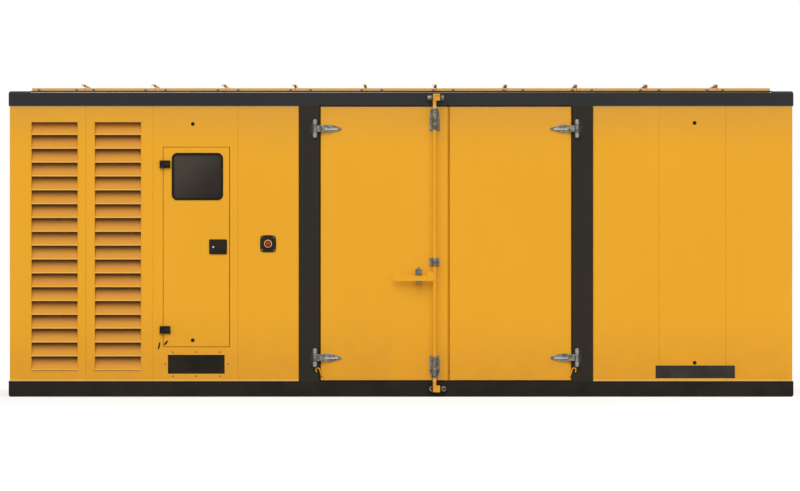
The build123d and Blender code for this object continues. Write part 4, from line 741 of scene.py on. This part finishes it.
strip = slab_surface(*STRIP, WALL_FRONT - STRIP_THICKNESS, WALL_FRONT + STRIP_SUNK, STRIP_CORNER)
make_piece("blank_strip", *strip, film, "enclosure", "black_plastic")

# Zinc: hot-dip galvanised steel of the hinges, guides, catch and keepers. Its crystals give patches
# of lighter and darker grey, dulled by brown stains and brighter where edges rub. A bright line on each
# hinge strap is a painted highlight of a rib that is not modelled.
HINGE_X = {"left_door": -0.664, "right_door": 1.357}
HINGE_LEVELS = (0.302, 2.069)
RIB_FACE, RIB_DEPTH = 1.223, 0.0006
RIB_DROP, RIB_HALF_WIDTH = 0.004, 0.004
zinc, tree, shader = new_material("zinc", Specular_IOR_Level=0.5)
place = coordinates(tree)
waver = add_node(tree, "ShaderNodeTexNoise", {"Vector": place, "Scale": 45.0}).outputs["Color"]
bent = add_node(tree, "ShaderNodeVectorMath", {0: waver, 1: (0.012, 0.012, 0.012), 2: place},
                operation="MULTIPLY_ADD").outputs[0]
crystals = add_node(tree, "ShaderNodeTexVoronoi", {"Vector": bent, "Scale": 110.0}).outputs["Color"]
spangle = add_node(tree, "ShaderNodeSeparateColor", {0: crystals}).outputs[0]
edges = broken_edges(tree, 0.0015, 0.004)
zinc_color = mix_colors(tree, spangle, (0.085, 0.082, 0.066, 1), (0.28, 0.27, 0.225, 1))
stains = fade(tree, noise(tree, 30.0, 4.0), 0.4, 0.66, 0.0, 0.85)
stained = mix_colors(tree, stains, zinc_color, (0.055, 0.05, 0.036, 1))
axes = axes_of(tree)
# Painted highlight: a bright line on the strap face just below each hinge level.
on_rib = calc(tree, "COMPARE", calc(tree, "ABSOLUTE", axes["Y"]), RIB_FACE, RIB_DEPTH)
at_level = [calc(tree, "COMPARE", axes["Z"], level - RIB_DROP, RIB_HALF_WIDTH) for level in HINGE_LEVELS]
rib_highlight = calc(tree, "MULTIPLY", on_rib, calc(tree, "MAXIMUM", *at_level))
rubbed_and_highlight = calc(tree, "MAXIMUM", calc(tree, "MULTIPLY", edges["Edge"], 0.28),
              calc(tree, "MULTIPLY", rib_highlight, 0.6))
join(tree, mix_colors(tree, rubbed_and_highlight, stained, (0.66, 0.66, 0.63, 1)), shader, "Base Color")
join(tree, fade(tree, noise(tree, 22.0, 3.0), 0.3, 0.7, 0.9, 0.5), shader, "Metallic")
join(tree, calc(tree, "MULTIPLY_ADD", spangle, 0.16, 0.33), shader, "Roughness")
relief(tree, shader, noise(tree, 160.0, 3.0), 0.00025, edges["Normal"])
finish(zinc, "left_hinge_straps", "right_hinge_straps", "rod_guides", "handle_catch", "rod_keepers",
       "back_door_fittings")

# Pillar plates of the strap hinges: their flared plates are sprayed black together with the pillars,
# while the knuckles and the pin keep their bare zinc.
KNUCKLE_HALF = 0.0178
plate_finish, tree, shader = new_material("pillar_plates", Specular_IOR_Level=0.3)
along = axes_of(tree)["X"]
aside = [calc(tree, "ABSOLUTE", calc(tree, "SUBTRACT", along, x)) for x in HINGE_X.values()]
off_knuckle = [calc(tree, "GREATER_THAN", distance, KNUCKLE_HALF) for distance in aside]
sprayed = calc(tree, "MULTIPLY", *off_knuckle)
edges = broken_edges(tree, 0.0015, 0.004)
sprayed_color = mix_colors(tree, calc(tree, "MULTIPLY", edges["Edge"], 0.5), BLACK, (0.07, 0.06, 0.045, 1))
bare = mix_colors(tree, noise(tree, 60.0, 3.0), (0.1, 0.1, 0.09, 1), (0.42, 0.42, 0.4, 1))
rubbed_bare = mix_colors(tree, calc(tree, "MULTIPLY", edges["Edge"], 0.6), bare, (0.62, 0.62, 0.6, 1))
join(tree, mix_colors(tree, sprayed, rubbed_bare, sprayed_color), shader, "Base Color")
join(tree, calc(tree, "MULTIPLY_ADD", sprayed, -0.75, 0.75), shader, "Metallic")
roughen(tree, shader, 50.0, 0.16, 0.38)
relief(tree, shader, noise(tree, 200.0), 0.0002, edges["Normal"])
finish(plate_finish, "hinge_plates")

# Hinge and guide bolts: zinc-plated hexagon heads on washers through the doors, with domed heads at
# the tips of the straps and on the pillar plates.
STRAP_FACE, STRAP_WAIST, WAIST_BOLT_RISE, STRAP_TIP = 1.218, 0.112, 0.0215, 0.193
PLATE_FACE, PLATE_SCREW_ASIDE, PLATE_SCREW_RISE = 1.227, 0.0275, 0.036
GUIDE_FACE, GUIDE_X, GUIDE_BOLT_ASIDE = 1.215, 0.259, 0.0295
GUIDE_BOLT_LEVELS = (0.214, 0.302, 1.020, 1.059, 2.067, 2.156)
HEX_OUTLINE = [(0, 0.0062, 0), (0.0062, 0.0062, 0.3), (0.0082, 0.0052, 1), (0.0085, 0.0018, 1),
               (0.0085, 0.0016, 1), (0.0112, 0.0016, 0), (0.0112, -0.001, 0), (0, -0.001, 0)]
SMALL_HEX_OUTLINE = [(0, 0.005, 0), (0.0045, 0.005, 0.3), (0.006, 0.0042, 1), (0.0062, 0.0013, 1),
                     (0.0062, 0.0012, 1), (0.0078, 0.0012, 0), (0.0078, -0.001, 0), (0, -0.001, 0)]
DOME_OUTLINE = [(0, 0.0042, 0), (0.003, 0.004, 0), (0.0055, 0.003, 0), (0.0072, 0.0014, 0), (0.0078, 0, 0),
                (0.0078, -0.001, 0), (0, -0.001, 0)]

for side, facing in SIDES:
    for (door, axis), towards in zip(HINGE_X.items(), (1, -1)):
        body = door if side == "front" else "enclosure"
        waist = [(axis + towards * STRAP_WAIST, facing * STRAP_FACE, level + rise)
                 for level in HINGE_LEVELS for rise in (-WAIST_BOLT_RISE, WAIST_BOLT_RISE)]
        tips = [(axis + towards * STRAP_TIP, facing * STRAP_FACE, level) for level in HINGE_LEVELS]
        plates = [(axis - towards * PLATE_SCREW_ASIDE, facing * PLATE_FACE, level + rise)
                  for level in HINGE_LEVELS for rise in (-PLATE_SCREW_RISE, PLATE_SCREW_RISE)]
        make_heads(f"{side}_{door}_strap_bolts", waist, HEX_OUTLINE, 6, zinc, body, "galvanised", facing, 0.7)
        make_heads(f"{side}_{door}_strap_tips", tips, DOME_OUTLINE, 24, zinc, body, "galvanised", facing)
        make_heads(f"{side}_{door}_plate_screws", plates, DOME_OUTLINE, 24, black_paint, "enclosure",
                   "black_paint", facing)
    guides = [(GUIDE_X + aside, facing * GUIDE_FACE, level)
              for level in GUIDE_BOLT_LEVELS for aside in (-GUIDE_BOLT_ASIDE, GUIDE_BOLT_ASIDE)]
    make_heads(f"{side}_guide_bolts", guides, SMALL_HEX_OUTLINE, 6, zinc,
               "left_door" if side == "front" else "enclosure", "galvanised", facing, 0.5)

# Roof edge bolts: dark self-drilling screws through the down-turned rim of the roof covers, a pair
# beside each standing seam.
ROOF_BOLT_X = (-2.79355, -2.50417, -2.37298, -1.97169, -1.81735, -1.41221, -1.25556, -0.85273,
               -0.69916, -0.30328, -0.14817, 0.25003, 0.40128, 0.79176, 0.93916, 1.32347, 1.47086,
               1.84899, 1.99099, 2.3614, 2.48179)
ROOF_RIM = 1.205
ROOF_BOLT_Z = 2.363
dark_steel, tree, shader = new_material("dark_steel", Metallic=0.6)
two_toned(tree, shader, 90.0, (0.05, 0.045, 0.04, 1), (0.14, 0.125, 0.11, 1))
roughen(tree, shader, 150.0, 0.3, 0.4)
relief(tree, shader, noise(tree, 400.0), 0.0001)
for side, facing in SIDES:
    spots = [(x, facing * ROOF_RIM, ROOF_BOLT_Z) for x in ROOF_BOLT_X]
    make_heads(f"{side}_roof_bolts", spots, HEX_OUTLINE, 6, dark_steel, "enclosure", "black_paint", facing,
               0.9)

# Seam ends: at the front and the back each standing roof seam is closed by a folded clip, hooked over
# to the left like the seam but a little larger.
SEAM_PITCH = 0.542
SEAM_COUNT = 10
CLIP_Y = 1.182
CLIP_HALF_WIDTH, CLIP_HALF_SHEET = 0.017, 0.0016
HOOK = ((0.0045, 2.3815), (0.0045, 2.383), (0.0045, 2.402), (0.0042, 2.4058), (0.0025, 2.4078),
        (-0.001, 2.4085), (-0.021, 2.4085), (-0.0245, 2.4078), (-0.0262, 2.4058), (-0.0266, 2.402),
        (-0.0266, 2.3945), (-0.0266, 2.3935))


def swept_strip(path, half_width, half_thickness):
    """Folded strip of sheet along a path in X and Z. Each point is path(u) + t cos(v) normal(u) +
    w sin(v) y, with both sizes brought to nothing at the ends so that it is closed."""
    path = np.asarray(path, float)
    run = np.gradient(path, axis=0)
    run /= np.linalg.norm(run, axis=1)[:, None]
    level = np.zeros(len(path))
    normal = np.stack([-run[:, 1], level, run[:, 0]], axis=-1)
    centre = np.stack([path[:, 0], level, path[:, 1]], axis=-1)
    turn = np.linspace(0, 2 * np.pi, 12, endpoint=False)
    swell = np.ones(len(path))
    swell[[0, -1]] = 0.0
    squared = np.sign(np.sin(turn)) * np.abs(np.sin(turn)) ** 0.3
    thickness = (swell[:, None] * half_thickness * np.cos(turn))[..., None] * normal[:, None, :]
    width = (swell[:, None] * half_width * squared)[..., None] * np.array(INWARDS)
    return centre[:, None, :] + thickness + width, grid_faces(len(path), len(turn))


points, faces = swept_strip(HOOK, CLIP_HALF_WIDTH, CLIP_HALF_SHEET)
clips = [(points + np.array((SEAM_PITCH * (number - (SEAM_COUNT - 1) / 2), side * CLIP_Y, 0)), faces)
         for number in range(SEAM_COUNT) for side in (-1, 1)]
make_piece("seam_clips", *together(clips), yellow_enamel, "enclosure", "yellow_paint")

# Cable entry: eight small screws hold the dark plate's rubber frame behind the wall.
ENTRY_SCREWS = ((-1.762, 0.344), (-1.580, 0.344), (-1.399, 0.344), (-1.762, 0.159), (-1.580, 0.159),
                (-1.395, 0.159), (-1.820, 0.252), (-1.336, 0.252))
SCREW_OUTLINE = [(0, 0.0012, 0), (0.0016, 0.0012, 1), (0.002, 0.0024, 1), (0.0038, 0.0024, 0),
                 (0.0058, 0.001, 0), (0.006, 0, 0), (0.006, -0.001, 0), (0, -0.001, 0)]
make_heads("entry_screws", [(x, WALL_FRONT, z) for x, z in ENTRY_SCREWS], SCREW_OUTLINE, 6, dark_steel,
           "enclosure", "black_paint", turn_by=0.4)

# Control door: tinted pane in a rubber gasket, moulded block hinges on thin pads, and a flush latch
# with its key cylinder. The pane is painted lighter towards the upper left, a painted reflection.
PANE_X, PANE_Z = -1.5715, 1.6995
BLOCK_LEVELS = (0.516, 1.794)
PAD_X, PAD_HALF_HEIGHT, PAD_CORNER = (-1.8305, -1.780), 0.0295, 0.002
PAD_THICKNESS, PAD_SUNK = 0.0015, 0.0005
DOOR_PLUG = (-1.608, WALL_FRONT, 0.436)
KEY_CYLINDER = (-1.449, WALL_FRONT - 0.006, 1.155)
KEY_OUTLINE = [(0, 0.002, 0), (0.0012, 0.002, 0), (0.0016, 0.003, 0), (0.0045, 0.0032, 0),
               (0.0055, 0.0024, 0), (0.0057, 0.0008, 0), (0.0075, 0.0006, 0), (0.0075, -0.001, 0),
               (0, -0.001, 0)]
tinted, tree, shader = new_material("tinted_pane", IOR=1.5, Specular_IOR_Level=0.14)
axes = axes_of(tree)
# Painted reflection: the pane's colour lightens towards the upper left.
slant = calc(tree, "SUBTRACT", calc(tree, "SUBTRACT", axes["Z"], PANE_Z),
             calc(tree, "SUBTRACT", axes["X"], PANE_X))
reflection_slant = calc(tree, "ADD", slant, calc(tree, "MULTIPLY_ADD", noise(tree, 6.0, 4.0), 0.16, -0.08))
reflection_share = fade(tree, reflection_slant, -0.38, 0.4)
pane_color = mix_colors(tree, reflection_share, (0.009, 0.0035, 0.0025, 1), (0.055, 0.043, 0.03, 1))
join(tree, pane_color, shader, "Base Color")
join(tree, fade(tree, noise(tree, 9.0, 4.0), 0.3, 0.8, 0.06, 0.26), shader, "Roughness")
relief(tree, shader, noise(tree, 5.0, 1.0), 0.0004)
finish(tinted, "window_glass")

moulded, tree, shader = new_material("moulded_black", Specular_IOR_Level=0.12)
edges = broken_edges(tree, 0.0012, 0.003)
weathered(tree, shader, Color=(0.0155, 0.0112, 0.006, 1), Dust_Color=(0.055, 0.042, 0.024, 1),
          Chip_Color=(0.09, 0.085, 0.08, 1), Edge=edges["Edge"], Mottle=0.5, Dust=0.3, Chips=0.6)
roughen(tree, shader, 30.0, 0.18, 0.42)
grained(tree, shader, 0.0009, 0.00008, edges["Normal"])
finish(moulded, "control_hinge_blocks", "control_hinge_leaves", "control_latch", "latch_paddle", "stop_plate")

bright, tree, shader = new_material("bright_zinc", Metallic=1.0)
two_toned(tree, shader, 120.0, (0.3, 0.3, 0.285, 1), (0.62, 0.61, 0.58, 1), 3.0)
roughen(tree, shader, 300.0, 0.25, 0.22)
relief(tree, shader, noise(tree, 500.0), 0.00005, broken_edges(tree, 0.0007, 0.001)["Normal"])

pads = [slab_surface(*PAD_X, level - PAD_HALF_HEIGHT, level + PAD_HALF_HEIGHT, WALL_FRONT - PAD_THICKNESS,
                     WALL_FRONT + PAD_SUNK, PAD_CORNER) for level in BLOCK_LEVELS]
make_piece("control_hinge_pads", *together(pads), moulded, "control_door", "black_plastic")
make_heads("control_door_plug", [DOOR_PLUG], PLUG_OUTLINE, 32, rubber, "control_door", "black_rubber")
make_heads("latch_key_cylinder", [KEY_CYLINDER], KEY_OUTLINE, 32, bright, "control_door", "galvanised")

# Emergency stop: red mushroom button in an amber collar, on a black plate with four corner screws.
# Both plastics are moulded, the collar glossier than the button.
STOP_X, STOP_Z = -1.026, 1.181
STOP_PLATE_FACE = WALL_FRONT - 0.006
STOP_SCREW_ASIDE, STOP_SCREW_RISE = 0.045, 0.049
for name, part, darker, lighter, least_roughness, edge_radius, specular in (
        ("amber_plastic", "stop_collar", (0.86, 0.46, 0.15, 1), (0.95, 0.58, 0.24, 1), 0.3, 0.001, 0.5),
        ("red_plastic", "stop_button", (0.27, 0.026, 0.004, 1), (0.36, 0.045, 0.008, 1), 0.28, 0.0015, 0.2)):
    plastic, tree, shader = new_material(name, Specular_IOR_Level=specular)
    two_toned(tree, shader, 25.0, darker, lighter)
    roughen(tree, shader, 60.0, 0.15, least_roughness)
    grained(tree, shader, 0.001, 0.00005, broken_edges(tree, edge_radius, 0.002)["Normal"])
    finish(plastic, part)
stop_screws = [(STOP_X + aside, STOP_PLATE_FACE, STOP_Z + rise)
               for aside in (-STOP_SCREW_ASIDE, STOP_SCREW_ASIDE)
               for rise in (-STOP_SCREW_RISE, STOP_SCREW_RISE)]
make_heads("stop_plate_screws", stop_screws, SCREW_OUTLINE, 6, zinc, "enclosure", "galvanised", turn_by=0.3)

# Door stay: below the lower block hinge a folded stay holds the control door open; only the two dark
# ends of its links show, one on the wall panel and one on the door.
STAY_FACE = WALL_FRONT - 0.0012
STAY_LIFT = 0.002
STAY_HALF_SHEET = 0.002


def leaf_tab(start, stop, width):
    """Small pressed leaf between two points of the wall. At share u along it the section is an ellipse
    of half width w sqrt(4u(1-u)) and half thickness t sqrt(4u(1-u)), lifted off the wall by l sin(pi u)."""
    start, stop = np.asarray(start, float), np.asarray(stop, float)
    share = np.linspace(0, 1, 15)
    turn = np.linspace(0, 2 * np.pi, 12, endpoint=False)
    run = (stop - start) / np.linalg.norm(stop - start)
    aside = np.array((-run[1], run[0]))
    swell = np.sqrt(np.clip(4 * share * (1 - share), 0, 1))[:, None]
    centre = start + share[:, None] * (stop - start)
    flat = centre[:, None, :] + (swell * width / 2 * np.cos(turn))[..., None] * aside
    depth = STAY_FACE - STAY_LIFT * np.sin(np.pi * share)[:, None] - swell * STAY_HALF_SHEET * np.sin(turn)
    return np.stack([flat[..., 0], depth, flat[..., 1]], axis=-1), grid_faces(len(share), len(turn))


panel_link = leaf_tab((-1.8605, 0.424), (-1.8735, 0.362), 0.013)
door_link = leaf_tab((-1.7985, 0.434), (-1.8295, 0.398), 0.015)
make_piece("stay_link_on_wall", *panel_link, black_paint, "enclosure", "black_paint")
make_piece("stay_link_on_door", *door_link, black_paint, "control_door", "black_paint")
